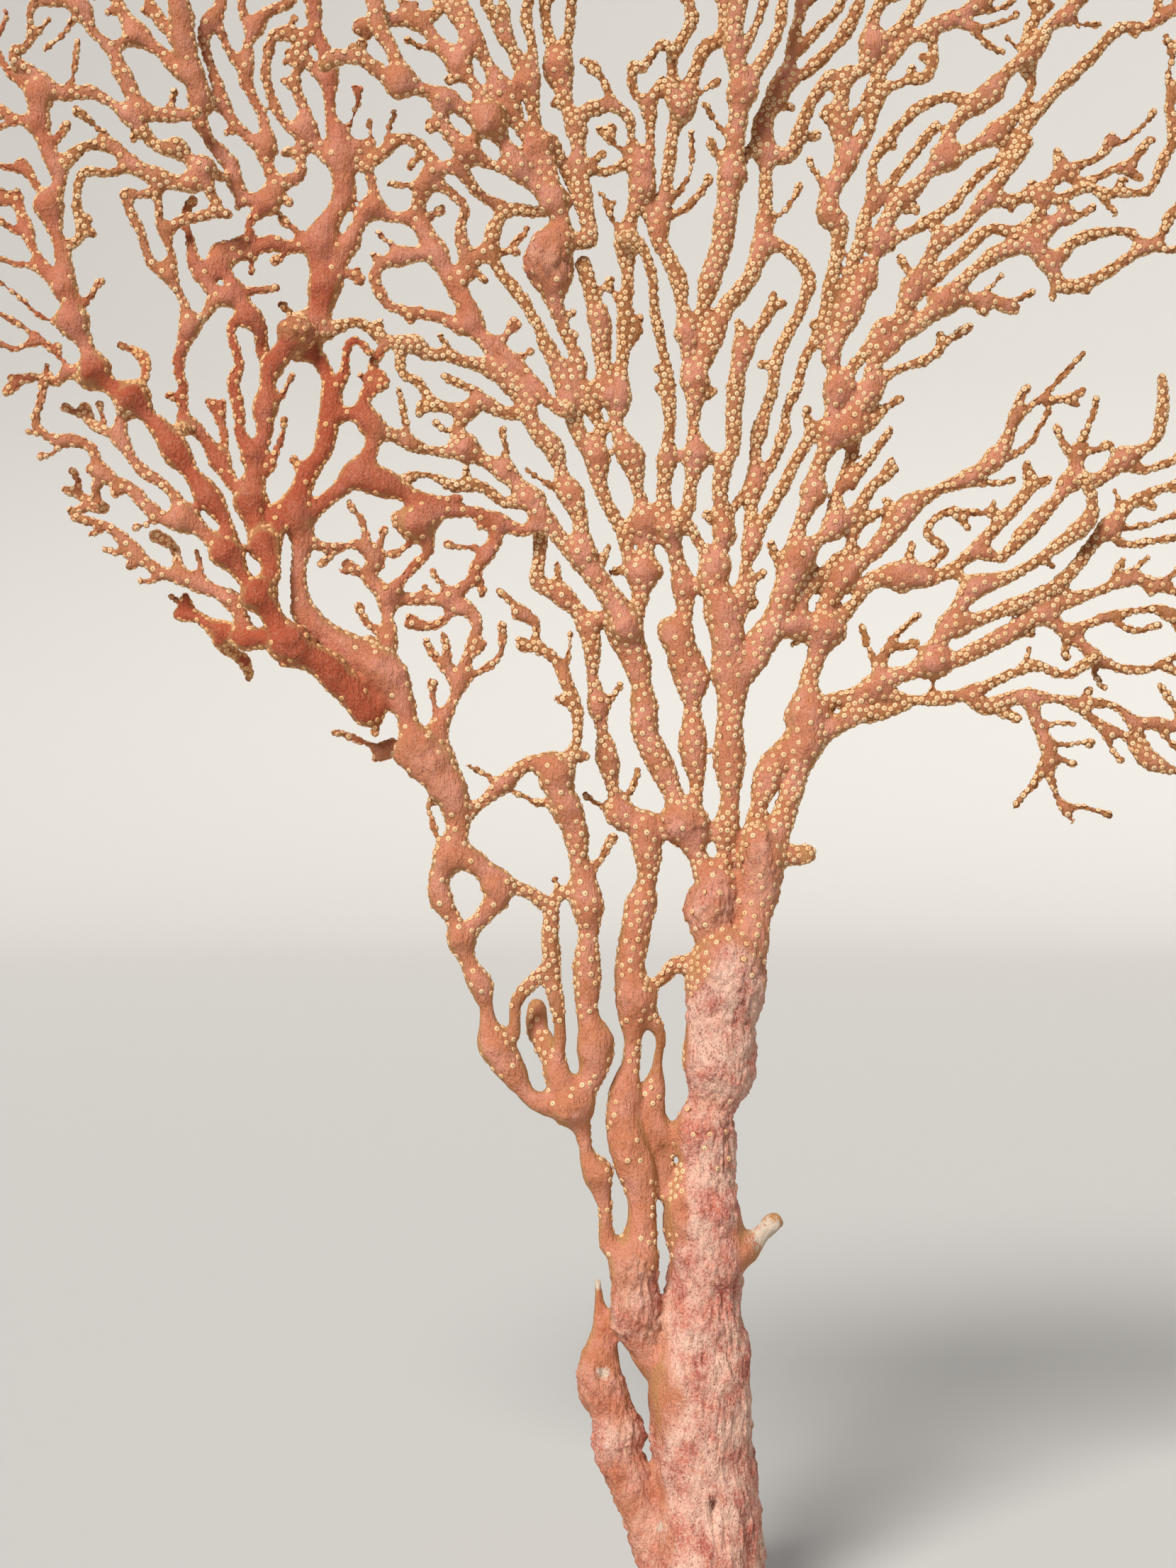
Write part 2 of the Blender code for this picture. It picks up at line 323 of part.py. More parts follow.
         (-24, 276.5, 5), (-28.2, 282, 4.2), (-30.2, 289.5, 4.2), (-32.6, 297, 4.6), (-36, 304, 3.4),
         (-41.2, 313.6, 3.5), (-47.5, 321.8, 3.4), (-49, 327.5, 3.4), (-45.4, 334.8, 4),
         (-38, 334.8, 3.4), (-34.2, 336.4, 5)),
        (None, (-24, 276.5, 4), (-23.2, 284, 3.2), (-26.4, 291.5, 4.4), (-20.8, 292.6, 4)),
        (4, (-18.6, 291.5, 4.6), (-17.7, 300, 3.3), (-17.3, 309, 3.5), (-16.4, 318, 3),
         (-16.8, 327.3, 4.6), (-15.4, 334.5, 3.2), (-13.2, 340.5, 4.6)),
    ),
    "knotted_branch": (
        (-6, (-30.4, 290, 4), (-28, 297.5, 3.6), (-31, 305.5, 3.3), (-33.5, 312, 4), (-34.3, 318, 8.5),
         (-35, 324, 10.5), (-32.6, 330.5, 4.6), (-34.2, 336.6, 7.4), (-38.4, 340, 4), (-42, 344.3, 6.2),
         (-46, 349.8, 4), (-49.3, 354, 8.4), (-54, 356.4, 4), (-59.5, 359.6, 4), (-64.5, 361.5, 3.8),
         (-69, 362.8, 6), (-74, 365, 3.6), (-79, 368.2, 3.4), (-84.5, 368.6, 4.6), (-87.2, 366.5, 4)),
        (2, (-69, 362.8, 5), (-71.3, 370, 3.8), (-75.5, 377.3, 4.4), (-76, 383, 4), (-78.5, 390, 3),
         (-79.5, 397, 2.4)),
        (None, (-59.8, 359, 4), (-59.8, 353.5, 3.4), (-54, 347.4, 4.6), (-48.5, 344.6, 3),
         (-42, 343.6, 4)),
    ),
    "knotted_upper_left": (
        (3, (-49.3, 354, 6), (-51.6, 361.5, 3.2), (-56.5, 368.4, 4.4), (-61, 373.2, 3.2), (-66, 379, 3.2),
         (-71.5, 380, 3), (-79.5, 378.3, 4)),
        (None, (-56, 368, 3.4), (-53.4, 374, 3.8), (-50, 369, 3.2), (-46.4, 362.4, 5.6),
         (-41.4, 353, 3.3), (-38, 349.4, 5), (-34.7, 342, 4), (-34.2, 337, 5)),
        (2, (-52.6, 374.2, 3.6), (-54.3, 381, 2.8), (-56.5, 388, 2.6), (-57, 395, 2.2)),
        (4, (-53.6, 374, 3.4), (-58.2, 382, 3.4), (-61, 388.5, 2.8), (-64, 395.5, 2.2)),
        (3, (-66, 379, 3), (-61, 382.3, 2.8), (-66, 389, 2.6), (-69.5, 396, 2.2)),
    ),
    "knotted_web": (
        (None, (-53.8, 347.2, 4), (-57, 344.2, 3.2), (-62, 343.6, 4), (-65.6, 338.4, 3.8),
         (-66.6, 332.6, 4)),
        (None, (-56, 344, 3), (-51.8, 338.6, 3), (-45.8, 335.4, 4)),
        (None, (-61.6, 340.8, 3), (-55.4, 336.2, 2.8), (-56, 330, 3), (-54.6, 321.8, 3.6),
         (-57, 317.6, 4)),
        (None, (-54.8, 321.4, 3), (-48.9, 326.5, 3.2)),
        (None, (-81.5, 348.5, 3), (-78.2, 345.6, 2.6), (-69.5, 351.8, 3), (-63.5, 347.2, 3.2),
         (-61.5, 343.8, 4)),
    ),
    "crown_middle_left": (
        (-3, (-38, 349.6, 4.6), (-38.4, 356.5, 3.2), (-39.8, 364, 5), (-42.8, 370, 3.2),
         (-45.4, 374.8, 3.4), (-49.2, 381.5, 3), (-52, 388, 2.6), (-52.5, 394, 2.2)),
        (3, (-39.6, 365, 4), (-39, 372, 2.8), (-40.6, 380.5, 3.2), (-39.6, 387, 2.8), (-42, 396, 2.2)),
        (2, (-45.2, 374.6, 3), (-45.6, 381.5, 2.7), (-47.5, 390, 2.2)),
        (4, (-37, 350, 4), (-33.9, 351, 2.8), (-32, 345.5, 2.6), (-29.5, 340.5, 3)),
    ),
    "crown_middle_branch": (
        (7, (-31.5, 327.8, 4.6), (-25.4, 327.3, 4.2), (-26.4, 333.5, 4), (-27.5, 340, 4.6),
         (-28.2, 347, 3.2), (-28.8, 355, 5.2), (-31.2, 360.5, 3.2), (-32.6, 368, 5.8),
         (-34.8, 375.5, 3.2), (-36.2, 383, 3), (-35.5, 390, 2.8), (-37.5, 400, 2.2)),
        (0, (-32, 369.5, 4.4), (-30.5, 377, 3.2), (-29.8, 386, 2.8), (-30.5, 397, 2.2)),
    ),
    "crown_cluster_branch": (
        (2, (-13.2, 340.5, 4.6), (-13.3, 345.6, 4.6), (-15.6, 351, 3), (-16.2, 356.6, 3),
         (-21, 359.4, 2.6), (-25.2, 358.6, 4.4)),
        (2, (-13.2, 345, 4), (-11.2, 350.5, 3), (-11.6, 359.6, 3.4), (-15, 362.6, 2.4),
         (-15.4, 369.4, 2.6), (-13, 368, 2.4), (-10.5, 372, 2.4), (-7.8, 374.2, 2.6), (-5.6, 372, 3)),
        (None, (-11.4, 360, 3), (-8, 365.4, 3), (-3.8, 358.8, 5)),
        (None, (-28.3, 346, 3), (-22.4, 343.8, 2.4), (-14.6, 347.4, 3)),
    ),
    "middle_crown_stem": (
        (5, (-0.6, 277, 5.4), (-1, 284, 3.3), (-0.6, 293.5, 5.4), (-2.4, 299.5, 3), (-2.2, 305.8, 4.6),
         (-3.6, 312, 3.3), (-4.8, 319.6, 4), (-8.5, 327, 3.4), (-10.8, 333.6, 3.4), (-13.2, 340, 4)),
        (7, (-9, 330, 3.6), (-7.7, 338, 2.9), (-6.7, 346.5, 3.6), (-5.8, 354, 3), (-3.9, 359, 5.2),
         (-1.8, 365, 3.4), (1.6, 373.8, 3.8), (6, 377, 4.2), (6.6, 383.5, 3.6), (5, 391, 3),
         (5.5, 400, 2.4)),
        (2, (-3.4, 361, 3.6), (-5.8, 367, 2.8), (-5.6, 372.3, 3.2), (-2.2, 377.5, 3), (-1.3, 381.5, 3.2),
         (-3.6, 388, 2.6), (-4, 395, 2.2)),
        (None, (-0.8, 278, 3.2), (4, 276, 3.2), (6.2, 274, 4)),
    ),
    "middle_great_branch": (
        (0, (4.2, 250.5, 5.4), (5.3, 254, 3.5), (6.2, 259, 4.6), (5.2, 267, 3.5), (6.2, 274, 4.6),
         (8.3, 279, 3.5), (8.3, 288, 4.6), (9.2, 296, 3.8), (10.8, 303, 4.2), (9.2, 308, 2.2)),
        (None, (3.8, 250.8, 4.6), (0.6, 255.5, 3), (-2.2, 259.6, 3.6), (-6.4, 259.6, 4.6)),
        (4, (10, 301.5, 4), (14, 306, 3), (16.6, 310.7, 3.6), (18, 315, 2.2)),
    ),
    "middle_crown_branch": (
        (-3, (-2.1, 305.6, 4), (0.9, 311, 3.2), (3.2, 319, 5.2), (6, 327.5, 5), (6.9, 334, 5.2),
         (8.3, 345, 5), (8.9, 352, 3.5), (10, 361, 5.6), (9.2, 367, 4.6), (8.2, 374, 4), (9.2, 382, 4.8),
         (10.4, 389, 4), (11.5, 397, 3), (11, 405, 2.4)),
        (4, (10.8, 362, 5), (13.3, 366.4, 3.6), (16.6, 371.7, 4), (19, 377, 3.2), (20.2, 384, 2.8),
         (21.5, 392, 2.4), (21, 399, 2)),
        (2, (9.2, 371.5, 3.4), (12, 374, 2.6), (15, 381.5, 2.6), (17, 390, 2.2)),
    ),
    "front_tall_branch": (
        (12, (-1.6, 295, 4.6), (1.6, 299, 4), (3.6, 305, 5.4), (6.4, 311.5, 4.2), (12, 318.4, 4.2),
         (15.2, 326, 4.2), (16, 335, 3.4), (16.4, 343, 3.4), (16.4, 349.6, 4.4), (15.8, 356.6, 4.4),
         (20.4, 366.2, 4.2), (22.6, 373, 3.2), (24, 381, 3), (26, 389, 2.6), (26, 396, 2.2)),
        (3, (20.6, 366.4, 4), (27, 370, 3.2), (33.6, 376, 3.6), (37.2, 381.5, 3.4), (40, 389, 2.8),
         (41.5, 396, 2.2)),
        (2, (24, 375, 3), (29.7, 380, 2.8), (34, 384, 2.6), (35, 391, 2.2)),
        (None, (15.6, 327, 4), (20.5, 326.6, 3.4), (26.4, 319.5, 3.4), (23.6, 310, 3.2), (19, 300.5, 3.2),
         (17.3, 291, 3.2)),
        (None, (16.2, 354.5, 3.4), (10.6, 347, 3), (7.6, 341, 3)),
        (3, (16.4, 349.4, 4), (22, 349.2, 4), (26.4, 360, 3.2), (31.5, 366.6, 3.8)),
    ),
    "slender_right_branch": (
        (7, (8.8, 240, 5), (11.2, 245.5, 4.4), (11, 250, 3.2), (12.5, 255.8, 4), (12.4, 262, 3),
         (13.5, 271, 4.2), (13.8, 278.5, 3.2), (14.8, 283.5, 4), (17.3, 291, 3.3)),
        (None, (6.6, 258, 4), (8.6, 264.5, 2.4), (13.2, 270.8, 3.6)),
        (3, (13.6, 270.8, 3.4), (16.6, 273.6, 2.5), (20.3, 281.8, 3.5), (20.8, 287, 2.8),
         (23.6, 293.6, 3.2), (25.2, 299.5, 2.9), (29.4, 307, 3.4)),
        (None, (12.6, 256, 3.4), (19.3, 267.7, 3.1), (23.6, 276.5, 3.2), (28.8, 284, 3), (31.8, 283.2, 4)),
    ),
    "right_tall_branch": (
        (0, (33.2, 292.5, 5.8), (31.9, 296.8, 3.2), (31.6, 300.5, 4), (33.2, 305, 5), (36.6, 311.5, 3.5),
         (39.3, 317.6, 4.6), (41.6, 323.5, 3.3), (43.2, 327, 5), (45.4, 333.5, 3.8), (48.6, 337.4, 4.8),
         (54, 343, 3.6), (58.2, 347, 6), (59, 352.5, 3.4), (62.5, 357.2, 3.8), (65.2, 358.8, 5),
         (69.7, 362.6, 5.2), (72.6, 366.8, 3.2), (78.8, 371.5, 4.2), (83.2, 377.8, 3.2), (87, 380, 3.6),
         (89.5, 385, 3.4), (93, 391, 2.8), (94, 398, 2.2)),
        (3, (31.4, 299, 3.6), (29.8, 308, 3.2), (31, 317, 3.5), (33, 325.5, 3.4), (33.4, 331, 4.2),
         (30.8, 334, 6), (31.4, 339.5, 3.8), (35, 346.5, 5), (33.6, 353, 3.4), (33.8, 361, 3.6),
         (34.6, 366.6, 4.6), (38.5, 368, 3.2), (41, 373, 5), (41.6, 380, 3.8), (43.8, 385, 3.2),
         (46, 392, 2.6), (46, 399, 2.2)),
        (3, (40.8, 374, 4.6), (46, 376.4, 3.5), (51.2, 382.5, 3.8), (54, 389, 3), (56, 397, 2.2)),
        (None, (39.6, 318, 3.6), (36, 307.6, 3)),
    ),
    "right_crown_web": (
        (3, (36, 347.6, 4), (40.2, 354, 3.2), (43.5, 362.4, 3.2), (48.2, 365, 2.8), (54.5, 366.6, 3),
         (55.8, 372.8, 3), (55, 377.4, 5), (60.5, 380, 3.6), (68, 384.6, 3.2), (72, 390, 2.8),
         (74, 397, 2.2)),
        (None, (34.2, 354, 3), (38.6, 359, 2.6), (43, 367, 3.2), (49.6, 375, 3.8), (54.6, 376.6, 4)),
    ),
    "right_crown_lattice": (
        (2, (36.5, 312, 4), (33.2, 309, 3), (36.4, 322, 3.2), (38.8, 328.6, 4), (39.5, 333.5, 3.2),
         (45.4, 341, 3), (50, 347, 3), (56.2, 354.8, 2.8)),
        (None, (41.5, 336.4, 3.4), (41, 344, 3), (43.8, 350, 3), (52, 358.8, 3), (59.6, 361, 2.8),
         (65, 358.8, 4)),
    ),
    "crown_right_branch": (
        (3, (58.4, 347, 5), (62.5, 348, 3.5), (69.6, 352.4, 4.2), (76, 359, 3.1), (78.7, 364.4, 3),
         (77.6, 369.5, 3.4)),
        (None, (70.4, 352.6, 3.4), (74.4, 350.4, 3.2), (81.2, 359.4, 3.6), (88.5, 366.7, 3.8),
         (93.7, 371.5, 3), (99.6, 377.5, 3.2), (105, 377.4, 2.8), (112, 381.6, 2.6), (118, 386, 2.4),
         (122, 391, 2)),
        (2, (77.8, 369.5, 3.6), (78.4, 378, 3.2), (81, 382.4, 2.6), (82.5, 390, 2.4), (81, 397, 2)),
    ),
    "right_long_branch": (
        (0, (33, 281.8, 5.6), (37.6, 283.4, 4.2), (37.2, 287, 5.2), (40.6, 292, 4.8), (41.2, 297, 3.2),
         (44.6, 302.4, 4.2), (48.5, 305, 3.6), (56.6, 311.6, 4.8), (64.1, 319.2, 3.7), (71.2, 324.4, 4.5),
         (78.6, 327.4, 4.2), (84, 331.4, 3.2), (87, 334.3, 3)),
        (0, (44.2, 302.6, 4), (43.6, 306.4, 4.2), (47.6, 308.4, 4), (50.6, 316, 4.6), (54.3, 323, 3.4),
         (57, 327, 4.6), (63.6, 331.8, 3.2), (67.6, 337, 3.8), (73.8, 344.8, 3.7), (77.6, 350.6, 3)),
        (None, (51.4, 315.4, 3.6), (60.7, 323.2, 3.3), (68.7, 329.8, 3.2), (74.9, 329.6, 3),
         (80.8, 334.4, 3), (80.4, 337, 3.4)),
        (2, (43.2, 326.6, 4), (50.8, 330, 3.2), (59, 335, 3), (65.3, 341.8, 2.8), (72.3, 347.8, 2.6)),
        (None, (56, 331.3, 2.8), (57, 327.4, 3.6)),
        (None, (43.6, 306.6, 4), (37.3, 298.8, 3.2), (33.6, 293.4, 4)),
        (3, (58.2, 312.6, 4), (67.5, 313.8, 3.1), (75, 311.5, 3)),
        (4, (41.6, 293, 3.6), (47.7, 297.3, 2.8), (55, 300, 2.8), (59.6, 304.3, 2.4), (64.4, 307.6, 2.4)),
        (3, (40, 283.4, 3), (43.4, 287.2, 2.5), (48, 290.6, 2.6)),
    ),
    "right_arch_branch": (
        (2, (67.8, 336.8, 3.6), (75.5, 337.2, 3.2), (82.5, 340.5, 3.2), (85.4, 344, 3.2),
         (84.8, 348.3, 2.6)),
        (2, (80.4, 337.8, 3), (85, 336.8, 3), (90, 339.3, 2.8), (98, 338.3, 2.8), (106, 339.2, 2.6),
         (109, 345, 3), (112, 352, 2.6), (111.3, 360, 2.4), (116, 368, 2)),
        (3, (86.4, 344.4, 3), (93, 346.4, 2.4), (96.2, 349, 2.5), (97.8, 352.6, 2.4)),
        (3, (86.4, 343.4, 3), (91.5, 341.3, 2.8), (99, 344.8, 2.4), (104.8, 342.5, 2.2)),
    ),
    "right_hook_branch": (
        (4, (78.8, 326.6, 4), (82.4, 321.5, 3.8), (86, 316.2, 3.6), (95, 319, 3), (103.6, 324.8, 3.2),
         (109, 328, 2.9), (112, 334, 2.8), (119, 339.5, 2.6), (126, 345.5, 2.2)),
        (3, (83.4, 321.9, 3.4), (88.8, 327, 3.2), (95.5, 329.4, 3), (102.5, 329.4, 2.8), (104, 325, 2.8)),
    ),
    "right_low_loop_branch": (
        (6, (23.6, 252.8, 5), (28.8, 257.2, 3.6), (32.2, 260.2, 5), (33, 267.5, 3), (35.6, 274.5, 3.2),
         (37.6, 281.5, 4)),
        (3, (33, 260.8, 4), (37.6, 263.6, 3.5), (40.5, 268.6, 3), (46.4, 273.6, 2.8)),
        (3, (35.4, 270, 3.2), (40.4, 276, 3), (45.6, 283, 2)),
    ),
    "right_limb": (
        (2, (30.2, 235.8, 7), (29.9, 240, 5), (34.2, 248.4, 5.2), (38.8, 252, 4), (44, 257.4, 5.2),
         (50, 264.6, 5.8), (57, 268.9, 3), (65.5, 272.4, 3.6), (70.8, 277, 4), (74, 283.6, 2.8),
         (75.2, 288.6, 2.5), (77.5, 292.8, 2.4)),
        (2, (34.4, 249, 4.6), (36.8, 257.4, 3.2), (38.6, 260.8, 3.2), (43, 263.6, 2.4)),
        (2, (75.2, 286, 2.4), (80.6, 290, 1.8), (86.8, 296.4, 2), (91, 301, 1.6)),
        (None, (31, 234.6, 5), (23.6, 236.6, 4.6), (17, 235.6, 5)),
        (3, (23.4, 237, 4.6), (25.2, 243.8, 4.2), (32.5, 253, 2.4)),
    ),
    "right_middle_limb": (
        (4, (31, 235.4, 5), (36, 240.6, 3.2), (41.5, 247.6, 4), (50, 248.6, 5.6), (57, 248.4, 3.2),
         (64.6, 253.4, 3.4), (68.6, 258, 3.4), (75.8, 265.6, 3.6), (78.5, 269.5, 3.2), (79.6, 272.5, 2.2)),
        (3, (66.8, 254.6, 3.4), (71.9, 253, 3.1), (78, 259.4, 4), (84.4, 266.2, 3.4), (88.8, 271.3, 4.4),
         (95, 271.3, 3.2), (101, 276.6, 4.4), (108, 280.4, 3.2), (109.9, 288, 3.4), (109.7, 295.2, 3)),
        (3, (88.9, 272, 3.6), (90.3, 279, 2.5), (93.4, 286.5, 2.2), (94.2, 290.6, 2.2)),
        (3, (101, 275, 3), (105.4, 273.6, 2.6), (112.5, 276, 3), (119, 279.4, 2.8), (123, 284.5, 2.4),
         (128, 290, 2)),
        (None, (53.2, 247, 4), (54.6, 250.8, 2.6), (58.6, 254.8, 2.5), (54.2, 258.8, 3.2), (59, 264, 2.4),
         (65, 263.4, 2.1), (72.6, 263, 3)),
    ),
    "lower_right_stem": (
        (-3, (25.8, 215.5, 6), (32, 219, 3.8), (39, 220.6, 4.6), (45, 224, 4.4), (50.5, 225.8, 4.2),
         (55.4, 228.4, 6.4), (57, 233.4, 4.5), (60, 238, 5), (62, 242, 4), (65.6, 245.8, 4.7),
         (74.6, 248.8, 3.1), (83, 254.2, 3.3), (91, 260.6, 4.6), (92, 266, 3), (90, 270.6, 3.8)),
        (None, (65.4, 245.4, 4), (62, 248.2, 2.6), (60.6, 250.6, 3)),
        (3, (60.4, 236.2, 4), (69, 239.4, 3.5), (77, 242.4, 3.8), (86.6, 248, 3.5), (92, 254.4, 3.3),
         (96, 259, 4), (104.2, 266.8, 3.1), (111.7, 269.8, 2.7), (118, 273.4, 2.6), (125.5, 276.5, 2.4),
         (131, 281, 2)),
        (3, (97, 259.6, 3.4), (100.2, 256, 2.3), (106, 256.4, 2.5), (112.5, 257.6, 2.6)),
    ),
    "lower_right_limb": (
        (3, (56, 227.6, 5), (62.6, 229.4, 3.8), (66.2, 231, 4.6), (73.6, 235, 5), (81, 239.4, 4),
         (88.6, 242.8, 4), (95, 244.9, 3.1), (102.4, 247.8, 3), (109.5, 246, 2.9), (116, 244.4, 2.6),
         (122.5, 247.5, 2.4), (129, 249.5, 2)),
        (4, (82.4, 239, 3.4), (87.8, 235.4, 3.4), (95.4, 238.4, 2.6), (106.8, 240.7, 2.6),
         (113, 239.6, 2.5), (121, 241.5, 2.3), (128.5, 239.5, 2)),
        (None, (84.4, 246.4, 3), (88, 243.3, 3.6)),
        (3, (88.4, 234.6, 3), (94, 229.3, 3), (100.4, 226.4, 2.5), (107.5, 226.7, 2.5), (113, 229.6, 2.3),
         (120, 229, 2.3), (127, 231.5, 2)),
    ),
    "lower_right_web": (
        (-2, (42, 221.4, 4), (50, 219.3, 3), (58, 219.5, 3.4), (65.5, 221.5, 3), (72, 224.6, 2.7),
         (79.5, 227, 3), (86, 225, 2.4), (93, 229, 3)),
        (2, (64, 220.8, 4), (67.3, 217.3, 4.2), (74, 219.5, 3.5), (79, 219.9, 3.4), (88, 218.5, 2.7),
         (94.5, 213.3, 2.8), (101, 210.2, 2.3), (106.5, 205, 5.4), (113, 202.4, 2.3), (120, 203.4, 2.3),
         (127.5, 200.5, 2)),
        (2, (78.3, 219, 3.2), (79.6, 214.6, 2.7), (82.5, 207.6, 3.3), (83.2, 200.5, 2.5),
         (85.6, 195, 2.2), (88.2, 190.8, 1.8)),
        (3, (82.5, 205, 3), (79, 199, 2.5), (75, 194.3, 2)),
        (2, (88, 218.8, 2.7), (98.5, 217.5, 2.4), (105, 210, 2.4), (105.8, 206.5, 3.4)),
        (None, (25.5, 208.5, 5), (33.5, 213.5, 5), (38, 215.8, 4.6), (44, 215.8, 3), (49, 217.8, 2.5),
         (51, 219.2, 3)),
        (3, (102, 214.4, 2.4), (107.5, 213.6, 2.9), (114, 213, 2.4), (121, 215.5, 2.3), (127.5, 214, 2)),
    ),
}

RED_NODES = (
    "red_limb", "far_left_limb", "left_edge_limb", "low_red_branch", "red_fork_branch",
    "red_upper_branch", "tall_red_limb", "side_red_branch", "red_loop_branch", "crust_branch",
)
ROSE_NODES = ("trunk", "middle_fork", "left_stem", "inner_left_stem", "right_stem")
CORAL_NODES = (
    "left_limb", "left_upper_limb", "left_inner_branch", "left_centre_branch", "middle_right_branch",
    "right_tall_branch", "knotted_branch", "upper_left_limb",
)


def clear_scene():
    for old in list(bpy.data.objects):
        bpy.data.objects.remove(old, do_unlink=True)


def colour_of(name):
    if name == "dead_stem":
        return DEAD
    if name in ROSE_NODES:
        return ROSE
    if name in CORAL_NODES:
        return CORAL
    if name in RED_NODES:
        return RED
    return OCHRE


def rind(name):
    """The dry chalky skin of one limb."""
    material = bpy.data.materials.new(name + "_rind")
    material.use_nodes = True
    shader = material.node_tree.nodes["Principled BSDF"]
    shader.inputs["Base Color"].default_value = (*colour_of(name), 1)
    shader.inputs["Roughness"].default_value = ROUGHNESS
    shader.inputs["Metallic"].default_value = 0
    return material


def nearest_place(x, z, placed):
    """How far the nearest branch placed so far is from (x, z), and its nearest point."""
    best = (1e9, 0, 0, 0)
    for line in placed:
        for (ax, ay, az, _), (bx, by, bz, _) in zip(line, line[1:]):
            run = (bx - ax) ** 2 + (bz - az) ** 2
            share = ((x - ax) * (bx - ax) + (z - az) * (bz - az)) / run if run else 0
            share = min(1, max(0, share))
            on_x = ax + share * (bx - ax)
            on_z = az + share * (bz - az)
            away = math.hypot(on_x - x, on_z - z)
            best = min(best, (away, on_x, ay + share * (by - ay), on_z))
    return best


def centre_line(tip_depth, points, placed):
    """The branch's points as (x, y, z, width), its depth easing from its root to its tip."""
    points = list(points)
    root = tip = 0
    if placed:
        away, x, root, z = nearest_place(*points[0][:2], placed)
        if LEAST_REACH < away < MOST_REACH:
            points.insert(0, (x, z, points[0][2]))
    if tip_depth is None:
        away, x, tip, z = nearest_place(*points[-1][:2], placed)
        if LEAST_REACH < away < MOST_REACH:
            points.append((x, z, points[-1][2]))
    else:
        tip = tip_depth
    walked = [0]
    for (ax, az, _), (bx, bz, _) in zip(points, points[1:]):
        walked.append(walked[-1] + math.hypot(bx - ax, bz - az))
    line = []
    for (x, z, width), so_far in zip(points, walked):
        share = so_far / walked[-1]
        ease = share * share * (3 - 2 * share)
        line.append((x, root + (tip - root) * ease, z, width))
    return line


def thinned(line):
    """The line without the points that change neither its course nor its width much."""
    if len(line) < 3:
        return line
    first, last = line[0], line[-1]
    span = sum((b - a) ** 2 for a, b in zip(first[:3], last[:3])) or 1
    worst = (0, 0)
    for index, point in enumerate(line[1:-1], 1):
        share = sum((p - a) * (b - a) for p, a, b in zip(point[:3], first[:3], last[:3])) / span
        share = min(1, max(0, share))
        on_line = [a + share * (b - a) for a, b in zip(first, last)]
        bend = math.dist(point[:3], on_line[:3])
        swell = abs(point[3] - on_line[3]) / 2
        worst = max(worst, (max(bend, swell), index))
    if worst[0] < POINT_TOLERANCE:
        return [first, last]
    return thinned(line[: worst[1] + 1])[:-1] + thinned(line[worst[1] :])


def sides_for(width):
    return next(sides for least, sides in ROUND_SIDES if width >= least)


def tube(line, grow=0):
    """A closed tube round the line, its rings lying across it, as a bmesh in metres."""
    sides = sides_for(sum(point[3] for point in line) / len(line))
    grow = grow / math.cos(math.pi / sides)
    centres = [Vector(point[:3]) for point in line]
    flat_foot = line[0][2] == 0
    mesh = bmesh.new()
    rings = []
    for index, centre in enumerate(centres):
        before = centres[max(index - 1, 0)]
        after = centres[min(index + 1, len(centres) - 1)]
        along = (after - before).normalized()
        if flat_foot and index == 0:
            along = Vector((0, 0, 1))
        across = along.cross(Vector((0, -1, 0))).normalized()
        out = across.cross(along).normalized()
        radius = line[index][3] / 2 + grow
        if grow and index == 0:
            centre = centre - along * grow
        if grow and index == len(centres) - 1:
            centre = centre + along * grow
        ring = []
        for side in range(sides):
            angle = 2 * math.pi * (side + 0.5) / sides
            place = centre + radius * (math.cos(angle) * across + math.sin(angle) * out)
            ring.append(mesh.verts.new(place * MM))
        rings.append(ring)
    for lower, upper in zip(rings, rings[1:]):
        for side in range(sides):
            other = (side + 1) % sides
            mesh.faces.new((lower[side], lower[other], upper[other], upper[side]))
    mesh.faces.new(rings[0])
    mesh.faces.new(rings[-1])
    bmesh.ops.recalc_face_normals(mesh, faces=mesh.faces)
    return mesh


def as_object(name, mesh):
    data = bpy.data.meshes.new(name)
    mesh.to_mesh(data)
    mesh.free()
    made = bpy.data.objects.new(name, data)
    bpy.context.scene.collection.objects.link(made)
    return made


def work(body, tool, operation):
    """The body after one Boolean with the tool, which is used up."""
    modifier = body.modifiers.new("shape", "BOOLEAN")
    modifier.operation = operation
    modifier.solver = SOLVER
    modifier.object = tool
    graph = bpy.context.evaluated_depsgraph_get()
    result = bpy.data.meshes.new_from_object(body.evaluated_get(graph))
    body.modifiers.clear()
    old = body.data
    body.data = result
    bpy.data.meshes.remove(old)
    bpy.data.objects.remove(tool, do_unlink=True)


def box_of(line):
    reach = [point[3] / 2 + 2 * GAP for point in line]
    low = [min(point[axis] - r for point, r in zip(line, reach)) for axis in range(3)]
    high = [max(point[axis] + r for point, r in zip(line, reach)) for axis in range(3)]
    return low, high


def boxes_meet(one, two):
    return all(one[0][axis] < two[1][axis] and two[0][axis] < one[1][axis] for axis in range(3))


def keep_main_body(body):
    """Deletes the crumbs that a cut leaves, and keeps the largest body."""
    mesh = bmesh.new()
    mesh.from_mesh(body.data)
    unseen = set(mesh.verts)
    groups = []
    while unseen:
        group = {unseen.pop()}
        edge = list(group)
        while edge:
            vertex = edge.pop()
            for link in vertex.link_edges:
                other = link.other_vert(vertex)
                if other in unseen:
                    unseen.discard(other)
                    group.add(other)
                    edge.append(other)
        groups.append(group)
    groups.sort(key=len)
    for group in groups[:-1]:
        bmesh.ops.delete(mesh, geom=list(group), context="VERTS")
    mesh.to_mesh(body.data)
    mesh.free()


